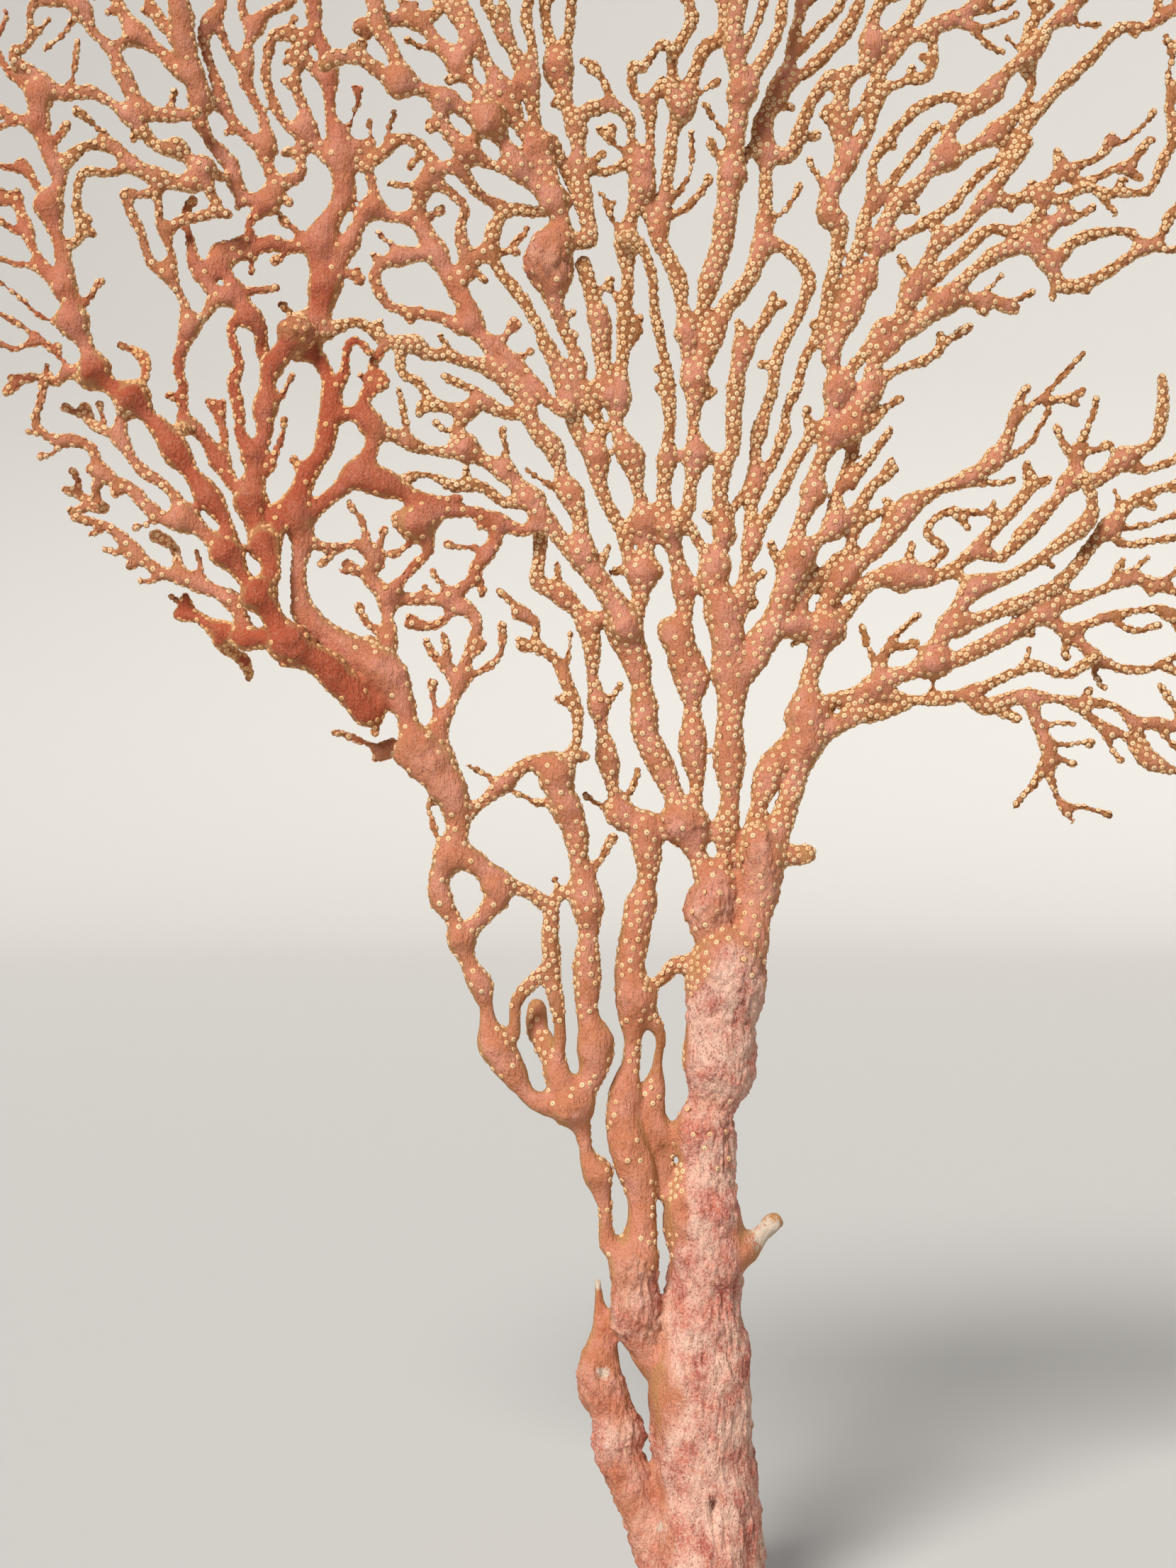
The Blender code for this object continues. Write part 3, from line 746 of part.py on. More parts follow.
def grow_limb(name, lines, earlier):
    """One node: its branches joined, then cut clear of the limbs made before it."""
    body = as_object(name, tube(thinned(lines[0])))
    for line in lines[1:]:
        work(body, as_object("branch", tube(thinned(line))), "UNION")
    boxes = [box_of(line) for line in lines]
    for line in earlier:
        if any(boxes_meet(box_of(line), box) for box in boxes):
            work(body, as_object("neighbour", tube(thinned(line), GAP)), "DIFFERENCE")
    keep_main_body(body)
    body.data.name = name
    body.data.materials.clear()
    body.data.materials.append(rind(name))
    body.data.shade_smooth()
    body.data.set_sharp_from_angle(angle=SMOOTH_ANGLE)


def main():
    clear_scene()
    placed = []
    for name, rows in BRANCHES.items():
        lines = []
        for tip_depth, *points in rows:
            lines.append(centre_line(tip_depth, points, placed + lines))
        grow_limb(name, lines, placed)
        placed.extend(lines)


main()
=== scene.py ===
"""The look of a dried sea fan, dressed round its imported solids.

Every branch is swept again along the centre line that its solid follows, with all of its swellings and
with the small side twigs that the solids leave out. The branches are fused into one skin, parted into a
piece for each group of limbs, and covered with polyp pits as real small domes.
Lengths are in millimetres up to the moment a mesh is made, and in metres from then on.
"""

import math
import random

import bmesh
import bpy
import numpy as np
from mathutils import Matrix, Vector, kdtree, noise


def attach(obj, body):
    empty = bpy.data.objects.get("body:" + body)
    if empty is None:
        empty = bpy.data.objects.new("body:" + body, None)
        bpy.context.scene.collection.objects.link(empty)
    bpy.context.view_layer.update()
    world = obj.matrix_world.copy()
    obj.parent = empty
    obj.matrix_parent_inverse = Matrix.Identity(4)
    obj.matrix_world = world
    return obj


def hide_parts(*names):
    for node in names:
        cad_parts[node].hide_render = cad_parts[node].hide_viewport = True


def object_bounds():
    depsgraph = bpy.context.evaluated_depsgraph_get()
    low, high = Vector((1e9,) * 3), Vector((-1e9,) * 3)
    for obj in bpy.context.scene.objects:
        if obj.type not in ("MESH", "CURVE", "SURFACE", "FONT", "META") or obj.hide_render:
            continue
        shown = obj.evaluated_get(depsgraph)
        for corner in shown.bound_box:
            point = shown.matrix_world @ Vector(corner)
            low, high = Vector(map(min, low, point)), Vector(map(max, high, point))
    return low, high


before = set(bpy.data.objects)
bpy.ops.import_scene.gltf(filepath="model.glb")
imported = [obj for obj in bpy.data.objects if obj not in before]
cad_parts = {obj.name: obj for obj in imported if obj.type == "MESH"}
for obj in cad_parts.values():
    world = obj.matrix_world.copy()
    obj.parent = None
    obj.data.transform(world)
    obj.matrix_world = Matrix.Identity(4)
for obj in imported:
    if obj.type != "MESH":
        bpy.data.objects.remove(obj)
CAD_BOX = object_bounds()

MM = 0.001
SEED = 7

# A branch whose listed end lies this far from the branch it grows from is led on to it, in millimetres.
LEAST_REACH = 1.6
MOST_REACH = 6

# The tubes of the branches, in millimetres. SKIN_GROWTH is added to a tube's radius, and STOUT_GROWTH too on
# a stout one. A tube wider than the first number of a pair in TUBE_SIDES has the second as its sides. Its
# tip is rounded by rings, each (how far out, how large) in radii. Between two listed points a branch keeps
# at least NECK_SHARE of the thinner one's width.
RING_STEP = 1.1
SKIN_GROWTH = -0.14
STOUT_GROWTH = 0.42
THIN_LIMIT, STOUT_LIMIT = 4.0, 7.0
TUBE_SIDES = ((11, 20), (6, 14), (0, 10))
TIP_RINGS = ((0.45, 0.9), (0.8, 0.62), (1.0, 0.2))
NECK_SHARE = 0.8

# How the tubes are fused into one skin.
VOXEL = 0.86
SMOOTH_PASSES = 4
SMOOTH_FACTOR = 0.5
SKIN_KEPT = 0.62

# Side twigs grow out of branches up to THIN_BRANCH wide, and seldom out of stouter ones. Each round gives
# how many sprout per millimetre, and their lengths. They run away from GROWTH_CENTRE, keep TWIG_CLEARANCE
# from other branches, and end EDGE inside the CAD box.
TWIG_ROUNDS = ((0.15, (10, 30)), (0.10, (7, 20)), (0.05, (4, 12)))
TWIG_WIDTH = (1.8, 2.4)
TWIG_STEP = 1.3
TWIG_CLEARANCE = 1.3
TWIG_LEAN = 0.16
SHORTEST_TWIG = 3.0
KNOB_SHARE = (1.05, 1.35)
THIN_BRANCH = 6.0
STOUT_SHARE = 0.35
BARE_NODES = ("trunk", "dead_stem", "middle_fork", "right_stem", "left_stem", "inner_left_stem")
GROWTH_CENTRE = (-5, 120)
ROOM_CELL = 8.0
EDGE = 2.5

# How a twig starts and bends: how far out its second point lies as a share of its parent's radius, its lean
# along its parent at the start, its swelling at its root, the pull outwards and the shake of each step, the
# mix of directions that it is pulled in, the change of its width from step to step, and how near its root
# other branches don't count as in its way.
TWIG_START = 0.5
TWIG_START_LEAN = (0.25, 1.2)
TWIG_ROOT_SWELL = (1.3, 1.25)
TWIG_PULL = 0.16
TWIG_SHAKE = 0.22
ALONG_SHARE, OUTWARD_SHARE = 0.6, 0.8
TWIG_WIDTH_CHANGE = (0.88, 1.08)
TWIG_ROOT_ROOM = 3.2
LEAST_TWIG_POINTS = 4

# Where a branch of at least KNOT_BRANCH leaves another, both swell into a knot that reaches KNOT_REACH. A
# branch as wide as KNOT_WIDEST doesn't swell. A free tip is different as far as TIP_REACH from its end.
KNOT_BRANCH = 7.0
KNOT_REACH = 4.2
KNOT_SWELL = 0.34
KNOT_WIDEST = 14
TIP_REACH = 3.2

# How far an edge that is cut between two pieces turns inwards.
CUT_DEPTH = 0.5

# How far apart polyp pits stand on branches up to each width. A spacing of NO_POLYP means that there is
# none, and so does a face's mean spacing from BARE_FROM up.
POLYP_SPACING = ((4.4, 1.14), (5.6, 1.28), (7.5, 1.55), (10, 2.0), (14, 2.8))
NO_POLYP = 1e3
BARE_FROM = 100

# What is added to that spacing, as shares of it: in front of and behind a branch, most of all where it is
# red and not thin, on a knot, and in patches of the wider branches.
FRONT_SPACING = 0.12
RED_FRONT_SPACING = 1.9
RED_GAIN, RED_START = 2, 0.4
THINNEST_RED, RED_WIDTH_RANGE, LEAST_RED_SHARE = 2.6, 1.8, 0.25
KNOT_SPACING = 0.8
PATCH_WAVE = 6
PATCHY_WIDTH = 4.6
PATCH_SPACING = 0.55

# No polyp stands below LOWEST_POLYP, and below SPARSE_BELOW only some patches have any.
LOWEST_POLYP = 84
SPARSE_BELOW = 150
SPARSE_PATCH = 0.12

# How many sites are drawn for each one that fits, and the cells that they are kept in, in widest spacings.
CROWDING = 5
GRID_ROOM = 1.2

# A dome's radius, and its height as a share of the usual. Its foot and crest are (reach, rise) in radii,
# and the floor of its pit rises PIT_FLOOR.
POLYP_SIDES = 6
POLYP_RADIUS = (0.80, 0.98)
POLYP_HEIGHT = (0.75, 1.25)
POLYP_FOOT = (1.0, -0.22)
POLYP_CREST = (0.58, 0.25)
PIT_FLOOR = 0.08
MOSTLY_UP = 0.9

# Each node's branches, placed on the photo: how far the tip lies from the middle of the fan, then a
# centre line of (x, z, width). None stands where the tip grows into another branch and takes its depth.
BRANCHES = {
    "trunk": (
        (0, (0, 0, 58), (0.1, 1.5, 52), (0.3, 4, 44), (0.7, 8, 35.5), (1.2, 12, 30), (1.5, 15, 27.5),
         (2, 30, 24.5), (1, 45, 23),
         (0, 60, 24), (0.5, 67, 21.5), (1.3, 80, 17), (2, 92, 17.8), (0.8, 100, 18), (1.6, 107, 13.5),
         (2.2, 111, 12.7), (1.4, 118, 14), (3, 124, 10.6), (5, 131, 16), (5, 140, 16), (5.5, 145, 15.5),
         (6.5, 152, 18), (7, 158, 17)),
    ),
    "dead_stem": (
        (1, (-4, 10, 13), (-8, 16, 11), (-12.5, 27, 10), (-15.5, 36, 10), (-18.5, 41, 10.5),
         (-19, 46, 12.2), (-20.5, 52, 9.5), (-23, 58, 10.2), (-23, 63, 8.8), (-22.5, 68, 6.5),
         (-22.8, 74, 4), (-23.6, 82, 2.2)),
    ),
    "left_stem": (
        (-3, (-1, 51, 9), (-7, 59, 7.5), (-11.5, 65, 7.5), (-13.5, 70, 9.5), (-14.5, 75, 12),
         (-14.8, 82, 10.5), (-15.2, 88, 11)),
        (-5, (-16, 87, 7), (-21, 92, 5), (-22, 99, 3.9), (-22.6, 103, 4.4), (-24.1, 108.5, 6.8),
         (-26.2, 113, 4), (-27.2, 118, 4.2), (-29.5, 124, 9)),
    ),
    "left_limb": (
        (-8, (-29.5, 124, 6), (-36, 125, 5.6), (-40.5, 127.5, 4.6), (-45, 134.5, 6.6), (-48.3, 141, 5.4),
         (-49.6, 147, 4), (-51, 153, 6), (-53.6, 157.5, 4.4), (-55.5, 163, 5.6), (-57.4, 168, 3.6),
         (-60.2, 173, 5.5), (-60.4, 178, 5), (-57.5, 184, 6), (-56, 189.5, 5), (-57.6, 196.5, 7.2),
         (-61, 202, 8), (-65.5, 207.5, 9)),
        (None, (-55.4, 163, 4.6), (-51, 168, 4.3), (-47.5, 172.5, 5.5), (-47.2, 176, 6),
         (-50.5, 179.8, 5.4), (-57.5, 184, 6)),
    ),
    "left_upper_limb": (
        (-4, (-65.5, 207.5, 9), (-67.7, 213.5, 5.6), (-70, 220, 6.2), (-73.5, 225.5, 8), (-80, 230.3, 7),
         (-84.5, 232.8, 6.4), (-89, 236, 6.4), (-92.2, 240, 5.4), (-93.4, 245.5, 4.3), (-93.5, 251, 4.2),
         (-92.7, 257, 5.4), (-94.3, 263, 6)),
        (2, (-62, 204, 6), (-69.5, 207.7, 4), (-73, 207.4, 4), (-76.3, 205.3, 2.2)),
    ),
    "red_limb": (
        (-14, (-72.3, 223.5, 6), (-74.5, 217.5, 5), (-77, 215.5, 5.4), (-80.5, 220.3, 6.4),
         (-85, 225, 7.3), (-90, 229, 6.6), (-94.6, 232, 9), (-97.6, 236.5, 5), (-101.3, 242.3, 6.8)),
        (-2, (-95.2, 232, 6), (-99.8, 232.9, 4.8), (-106, 233.2, 4.2), (-112.5, 235.8, 4.2),
         (-117, 238.2, 3.6), (-121.7, 238.8, 3.6)),
        (3, (-111, 234.6, 4), (-111.2, 231.8, 3.4), (-107, 228.3, 3.2), (-106, 225, 3.4)),
    ),
    "far_left_low_limb": (
        (-6, (-104.8, 233.2, 4), (-106.8, 239.5, 3.8), (-109.5, 242.6, 4.2), (-115, 245.3, 3.4),
         (-120.5, 247.7, 3.6), (-125, 248.3, 3.2), (-131.2, 253.2, 3), (-136.5, 258.6, 3.4),
         (-140.6, 260.2, 2.6), (-145.5, 261.4, 2.8)),
        (3, (-120.5, 247.7, 3), (-121.3, 251.5, 2.7), (-124, 255.7, 2.7), (-128.3, 258, 3.2)),
    ),
    "far_left_limb": (
        (-9, (-101.3, 242.3, 6.8), (-104.5, 246, 3.8), (-108.8, 252.7, 6.6), (-108.5, 257.3, 4),
         (-110.2, 261.2, 4), (-113, 265.6, 6.2), (-117.5, 271, 4), (-120.8, 275.8, 6.8), (-123, 279, 6),
         (-127.5, 284.3, 4.2), (-131.5, 288.4, 7), (-136.3, 291.2, 4.2), (-140, 294.4, 6.8)),
        (4, (-131.5, 288.4, 6), (-129.3, 293.5, 2.8), (-129.7, 298, 2.8), (-132.6, 301.4, 2.4),
         (-136.5, 303.2, 2)),
    ),
    "far_left_side_limb": (
        (-6, (-108.8, 252.7, 6), (-113.5, 256.4, 3.8), (-119, 260.6, 5.2), (-123, 260, 3.2),
         (-128, 263.8, 3.8), (-131.5, 267.6, 3), (-138, 271, 3.4), (-141.5, 277.5, 3), (-146, 279.2, 2.6),
         (-150.5, 279.5, 2.5), (-154.6, 283.5, 2.6), (-153.2, 288.5, 2.1), (-152.8, 293, 2.6)),
        (None, (-119, 260.6, 4.4), (-120.3, 264.6, 3), (-124.5, 269, 3.2), (-129, 271.8, 3.2),
         (-132, 275.8, 3), (-134.2, 280, 3.2), (-133.8, 284.5, 2.6), (-132, 288, 4)),
        (4, (-134.2, 279.5, 3), (-138, 281.3, 2.7), (-142.6, 284.2, 2.8), (-145, 288.4, 2.8)),
        (3, (-138.1, 271, 3), (-141, 266.4, 2.4), (-138.6, 263.8, 3), (-142, 264.4, 3), (-145, 267, 2.7),
         (-149.2, 268.9, 2.7)),
    ),
    "left_edge_limb": (
        (-4, (-140, 294.4, 6.8), (-142.3, 300.5, 4), (-145.4, 306.4, 5.6), (-145.7, 311, 4),
         (-147.4, 315, 5), (-147.5, 320, 4), (-150, 329, 4), (-151.2, 334.3, 5.2), (-149.2, 339, 3.6),
         (-149.6, 343.3, 4.6), (-152, 347.6, 3), (-154.2, 353.3, 4.2), (-154, 361, 4.8)),
        (2, (-140.5, 294.6, 4), (-146.5, 295.2, 3.4), (-150, 293.3, 2.8), (-156, 295, 2.5),
         (-161.6, 295, 2.6)),
        (2, (-145.7, 306.2, 4), (-148, 307.6, 3.6), (-151.3, 309, 2.4)),
        (3, (-148.2, 314, 3), (-153.5, 320.9, 2.7), (-156.5, 327, 3), (-159.2, 332.9, 2.8),
         (-161.5, 337.3, 2.6), (-167, 340, 2.2)),
        (-2, (-151, 334, 3.2), (-154.6, 339.1, 2.6), (-158.8, 345, 2.6)),
        (2, (-154.2, 353.3, 3.6), (-160, 355.3, 2.7), (-165, 358.4, 2.8), (-170, 363, 2.2)),
        (2, (-154.2, 360.5, 3), (-160.3, 364.8, 2.4), (-165, 371.2, 2.2), (-168.5, 378, 1.8)),
    ),
    "left_ring_branch": (
        (None, (-154, 361, 4), (-153.2, 364, 3.4), (-159.5, 368, 3), (-160, 370.6, 3), (-156.6, 372, 2.4),
         (-156.2, 379, 2.4), (-154.6, 381.8, 2.8), (-145, 381.3, 4), (-141.6, 375, 3.2), (-137, 370.3, 4),
         (-134.4, 364.5, 4.2), (-130.5, 357.6, 4.2), (-126.5, 355.6, 4), (-121.5, 355.2, 3.4),
         (-117.4, 356, 4)),
        (None, (-152.6, 362, 3.6), (-148, 360.5, 2.8), (-142.4, 361, 3.6), (-137.8, 358.7, 3),
         (-132.4, 355.2, 4.2), (-130.4, 357, 3.6)),
    ),
    "left_web": (
        (None, (-117.5, 339.8, 4), (-122, 339.6, 4.2), (-126, 340.8, 4.6), (-132.5, 344, 3.4),
         (-135.8, 347.2, 2.8), (-139.5, 348.3, 2.8), (-144, 347.6, 3), (-149.2, 342.6, 4)),
        (None, (-132.8, 344, 2.6), (-137, 341.7, 2.4), (-142.8, 342.1, 2.6), (-144.8, 338, 2.5),
         (-144.6, 331, 2.6), (-143.9, 326.8, 2.6), (-148.2, 322.4, 3)),
        (None, (-132, 355, 4), (-129.4, 351.2, 3), (-125.8, 348, 3.2), (-121.8, 347.6, 5),
         (-119, 344.8, 3.2), (-115.6, 343, 5), (-117.5, 339.8, 3.4)),
    ),
    "low_red_branch": (
        (-5, (-101.3, 242.3, 6.4), (-99.2, 246, 4.6), (-98.8, 249.8, 4.2), (-100.6, 254.3, 6),
         (-103, 259, 4.5), (-104.6, 265, 6)),
        (None, (-100.6, 254.3, 5), (-98, 257.5, 4), (-98.8, 263, 3.2), (-94.3, 264.5, 4)),
    ),
    "red_fork_branch": (
        (3, (-104.6, 265, 6), (-108.3, 268.8, 3.2), (-112.2, 275.6, 4), (-111.4, 279.5, 2.8),
         (-112.7, 285, 2.6), (-114.9, 289.3, 3)),
        (-4, (-112.4, 275.4, 4), (-117.3, 282.2, 3.2), (-120.2, 283.8, 3.6), (-120.7, 287.5, 3),
         (-120.6, 292, 3), (-121.5, 296, 3.8), (-121, 300.5, 3.4), (-118.5, 306.6, 4.2)),
        (None, (-120.2, 283.4, 3.4), (-122, 279.5, 4)),
    ),
    "red_upper_branch": (
        (-2, (-104.6, 265, 6), (-103.9, 271.5, 3.8), (-104, 276, 5), (-106.8, 280.2, 3.2),
         (-107.3, 286, 3), (-108.8, 293, 3.8), (-107.4, 297.5, 3), (-109.2, 303.3, 3), (-109.6, 307, 3),
         (-105.8, 308.6, 4)),
        (None, (-104, 276, 4), (-101.4, 281, 3.4), (-101.2, 288.5, 4.5), (-100.9, 293.5, 4),
         (-100.2, 297.3, 5.4), (-97, 300.8, 5.4), (-94.2, 304.8, 9)),
    ),
    "tall_red_limb": (
        (6, (-94.3, 263, 6), (-92, 271.3, 5), (-88.5, 276.8, 4.6), (-86.8, 283.5, 5.2), (-86.4, 291, 4),
         (-88, 297, 3.6), (-91, 301.3, 4.6), (-94.2, 304.8, 9), (-89.8, 310.7, 6), (-88.4, 317, 6.2)),
        (0, (-86.5, 291, 3.6), (-83.4, 295.5, 2.8), (-82.3, 303, 2.5), (-80.3, 303.7, 2.4),
         (-77.3, 300.8, 2.6)),
    ),
    "upper_left_limb": (
        (4, (-88.4, 317, 6.2), (-89.6, 323, 5.2), (-89.2, 329, 6), (-86.4, 333.8, 5), (-83.9, 338.8, 5.6),
         (-84.6, 347.6, 5.2), (-85.2, 352.8, 4.4), (-87, 358.8, 3.2), (-87.2, 365.8, 3.6),
         (-87.3, 370.5, 4.2), (-90.3, 378, 3.6), (-91, 384, 4), (-92.5, 391, 3), (-93, 398, 2.4)),
        (None, (-89.4, 327.5, 4.2), (-92.9, 327.2, 3.4), (-97.5, 326.8, 3), (-101.2, 327.6, 4.4),
         (-105, 324.9, 3), (-109.4, 323, 3.2), (-112.6, 321.6, 4.4), (-109.3, 317, 3.2), (-105.5, 309, 4)),
        (None, (-112.6, 321.6, 4), (-113.2, 325.2, 3.8), (-109, 326.4, 3), (-105.8, 329.3, 3),
         (-106, 332, 3), (-101.5, 337, 4.5)),
        (3, (-105.4, 308.6, 4.4), (-103, 306, 4), (-102.8, 301.5, 3.4), (-100.4, 297.5, 5)),
        (0, (-109, 314, 4.4), (-113, 314.4, 4), (-118, 321, 3.8), (-119.5, 327.5, 2.8),
         (-121, 332.5, 2.6), (-118.8, 336.8, 2.6)),
    ),
    "upper_left_web": (
        (None, (-84.8, 348, 5), (-88.4, 348.5, 4), (-90.3, 351, 3.2), (-93.2, 355, 5), (-93, 359, 3.2),
         (-95.4, 365, 3), (-94.4, 369, 2.8), (-93.8, 374, 3.4), (-90.6, 378.5, 3.6)),
        (None, (-93.2, 354.6, 4.6), (-93.8, 348.5, 3.2), (-94, 343.8, 3.4), (-97.4, 342, 4),
         (-100.2, 341, 4)),
        (None, (-93.2, 354.6, 3), (-96.7, 355, 2.8), (-99.6, 359, 3), (-102.3, 366.5, 2.7),
         (-101.6, 372.5, 2.6), (-99.8, 377, 3), (-93.8, 376.5, 3.4)),
        (None, (-87.2, 366, 3.4), (-90.5, 368.3, 3), (-93.9, 372.5, 3)),
    ),
    "crown_left_stem": (
        (6, (-101.5, 337, 4.5), (-100.3, 341.5, 3.8), (-102.2, 347, 3.4), (-102, 352, 4.2),
         (-103.4, 358, 3.2), (-107, 365.4, 3.2), (-107.2, 369.6, 4), (-106.3, 375, 2.8), (-105, 379, 4),
         (-101.5, 382.8, 3), (-97, 385, 3), (-95, 391, 2.6), (-96, 397, 2.2)),
        (3, (-102.6, 350, 4), (-106.6, 352.6, 3.2), (-110.6, 357.5, 3.6), (-112.2, 361, 4.2),
         (-114.4, 367, 3), (-116.8, 374.5, 3), (-115.3, 379.6, 3.4), (-113, 383, 3.2), (-113, 390, 2.6),
         (-115, 397, 2.2)),
        (None, (-115, 379.8, 3), (-112.5, 376.8, 2.5), (-110.4, 371.8, 3), (-107.3, 369.4, 3.6)),
        (4, (-104.8, 378.8, 3.4), (-107.3, 381, 2.6), (-108, 388, 2.4), (-106.5, 394, 2)),
    ),
    "crown_left_limb": (
        (-5, (-101.5, 337, 4.5), (-106.5, 338.3, 3.2), (-109.4, 341, 4.4), (-110.6, 346, 4.2),
         (-115.4, 351.5, 3.6), (-117.5, 356, 4.4), (-117.3, 361, 4.4), (-118.6, 366, 4.4),
         (-120.4, 374, 4.3), (-121.3, 381, 5.2), (-122.5, 388, 4), (-124, 396, 3), (-123.5, 403, 2.4)),
        (None, (-117.2, 360.8, 3.6), (-114.3, 359.4, 3.2), (-111.8, 359.8, 3.6)),
        (3, (-118.8, 366, 4), (-122.5, 367.6, 4), (-127, 372, 3.3), (-132.2, 375.8, 4.2),
         (-136, 382.4, 3), (-139, 389, 2.6), (-140, 394.5, 2.2)),
        (2, (-120.6, 372.5, 4), (-124.5, 376, 3.2), (-128, 381.4, 3), (-131, 388, 2.6), (-132, 395, 2.2)),
        (None, (-132.2, 375.8, 4), (-134.6, 373.2, 3.4), (-136.8, 370.4, 4)),
        (None, (-115.4, 343, 4.4), (-112.4, 342, 3), (-109.6, 342.6, 3.6)),
    ),
    "left_arch_branch": (
        (None, (-118.5, 306.6, 4), (-120.7, 312.5, 3), (-124, 318.3, 3.6), (-128, 321.4, 3),
         (-130.6, 328.5, 3), (-134, 336.8, 3), (-130.6, 336.7, 2.8), (-126, 337.8, 3),
         (-125.9, 340.6, 3.4)),
        (None, (-123.8, 318.4, 3), (-123.3, 323.5, 2.5), (-126, 331.5, 2.5), (-126, 337.8, 3)),
        (None, (-124.4, 328.2, 2.4), (-121, 330.6, 2.8), (-114.6, 332.2, 3), (-112.6, 334.4, 3),
         (-114.2, 338, 3), (-115.6, 342.5, 4)),
        (None, (-118.5, 306.8, 3.4), (-115.2, 309.2, 2.8), (-113.4, 314, 3.6)),
    ),
    "side_red_branch": (
        (5, (-88.4, 317, 6), (-85.8, 322.5, 4.5), (-82.6, 327.6, 5.2), (-80, 333, 4), (-77, 336, 4.6),
         (-73, 334, 3.2), (-68.5, 333.4, 4.2), (-65.4, 331.8, 4.6), (-62, 325, 4.4), (-58.3, 318.6, 4.2),
         (-55.8, 314.5, 4.6), (-53.4, 309, 4.2)),
        (None, (-62, 325, 4), (-66.2, 324.9, 3.6), (-70.3, 324.4, 4), (-75.8, 322, 3.2),
         (-76, 317.5, 2.8), (-73.6, 313.2, 3.2), (-69.6, 311.7, 3), (-61, 310, 3), (-56.5, 307.6, 4),
         (-53.2, 308, 4)),
        (None, (-77, 336, 4), (-77, 341, 3), (-78.4, 346.5, 2.6), (-77, 350.6, 2.6), (-84, 350.2, 3.6)),
        (0, (-53.4, 309, 4.2), (-51, 305, 4), (-45, 300.8, 4.2), (-41, 297, 3.4), (-38.3, 293.2, 4),
         (-35, 289, 3.4), (-31.2, 287.2, 4)),
    ),
    "arching_branch": (
        (None, (-17, 236.7, 7), (-20, 242.3, 5.4), (-24.3, 248, 4.4), (-27.3, 253, 5.4),
         (-27.7, 260, 3.7), (-29.5, 266, 4.5), (-32.6, 273.5, 4), (-34, 278.3, 5), (-38.6, 283.6, 4.6),
         (-40.2, 288, 4.5), (-43, 292.3, 4.2), (-48.5, 297.2, 4.6), (-55, 299.3, 3.8), (-59, 300.6, 3.8),
         (-63.5, 301, 3.6), (-67.5, 303.5, 4.4), (-74, 304.7, 3.4), (-80, 308.8, 2.9),
         (-85.5, 307.5, 3.2), (-93.5, 306.5, 5)),
    ),
    "second_arching_branch": (
        (None, (-27.3, 253, 5), (-31.4, 255.6, 4.4), (-36.4, 261.8, 4.4), (-39.3, 266.2, 4.6),
         (-43, 270.3, 3.7), (-46, 273.4, 4.6), (-51, 275.7, 3.9), (-54.8, 278.6, 5), (-56.8, 282.8, 3.2),
         (-54.6, 286.6, 3.6), (-51.5, 289.6, 3.6), (-46, 287, 3.4), (-40, 286.3, 4)),
        (None, (-54.8, 278.4, 4), (-59.5, 277.6, 3.2), (-65, 278.2, 3.3), (-71, 281, 3),
         (-75.6, 281.8, 4)),
        (None, (-53.6, 288, 3.2), (-59, 288, 3.1), (-63, 290, 3), (-66, 294.4, 3), (-70, 296.6, 2.8),
         (-70.3, 303.4, 2.8)),
        (None, (-39.3, 266.2, 4), (-45.5, 265.6, 3.1), (-51, 269.4, 3.3), (-57.5, 269.5, 3.4),
         (-61.5, 271.4, 2.6), (-66.5, 271.9, 2.6), (-71.5, 268.9, 4)),
        (2, (-51.4, 289.6, 3), (-52.2, 292, 2.6), (-56, 293.7, 2.5), (-60.4, 295.6, 2.6)),
    ),
    "red_loop_branch": (
        (None, (-93, 261, 5), (-88.4, 264.4, 4), (-81.6, 270.6, 5), (-78.2, 274, 5), (-76.4, 279, 3.8),
         (-76, 283, 5), (-81, 286.3, 3.6), (-86.6, 284.6, 4)),
        (-2, (-79.5, 272, 6), (-75, 270, 6.5), (-70.4, 268.3, 5), (-66, 266.6, 4.4), (-60, 265.8, 3),
         (-56, 266.4, 2.2)),
        (None, (-77.6, 285, 4), (-78.6, 289.4, 4), (-77.2, 294, 2.8), (-76.2, 300, 2.8), (-73, 304.2, 3)),
    ),
    "crust_branch": (
        (-2, (-37, 261, 4), (-41, 259, 3.2), (-46, 260.6, 3.4), (-51.5, 263, 3.2), (-58, 263.5, 3.4),
         (-63, 262.6, 7), (-66.5, 261, 8), (-69.5, 261.5, 5)),
        (None, (-47.2, 260.4, 3), (-48.2, 255.5, 3.4), (-52, 250.4, 3.2), (-53.4, 246.8, 3.4),
         (-59, 242.6, 3)),
        (None, (-65.4, 259.6, 5), (-63.2, 254, 3.2), (-67, 250.2, 2.8), (-72.8, 243.3, 4)),
    ),
    "web_branch": (
        (0, (-58.5, 199.5, 6), (-60.6, 211.5, 4), (-57.2, 218.8, 3), (-55.6, 223.3, 3.4),
         (-54.2, 229, 2.8), (-51.8, 236, 3.2), (-53.8, 239.8, 3.6), (-60, 242.3, 3.2), (-66, 242.8, 3),
         (-72.8, 243, 4.2)),
        (None, (-73, 228, 5), (-72.6, 234, 3.3), (-72.8, 243, 4)),
        (None, (-73, 242.6, 3.6), (-77, 248.5, 2.8), (-76, 252.3, 3), (-80, 255.3, 2.4),
         (-86, 254.6, 2.6), (-92.8, 256.3, 4)),
    ),
    "inner_left_stem": (
        (2, (-14.8, 86, 8), (-13.8, 92, 7), (-13.5, 102, 6.4), (-15.5, 112, 8.4), (-18, 121, 7.2),
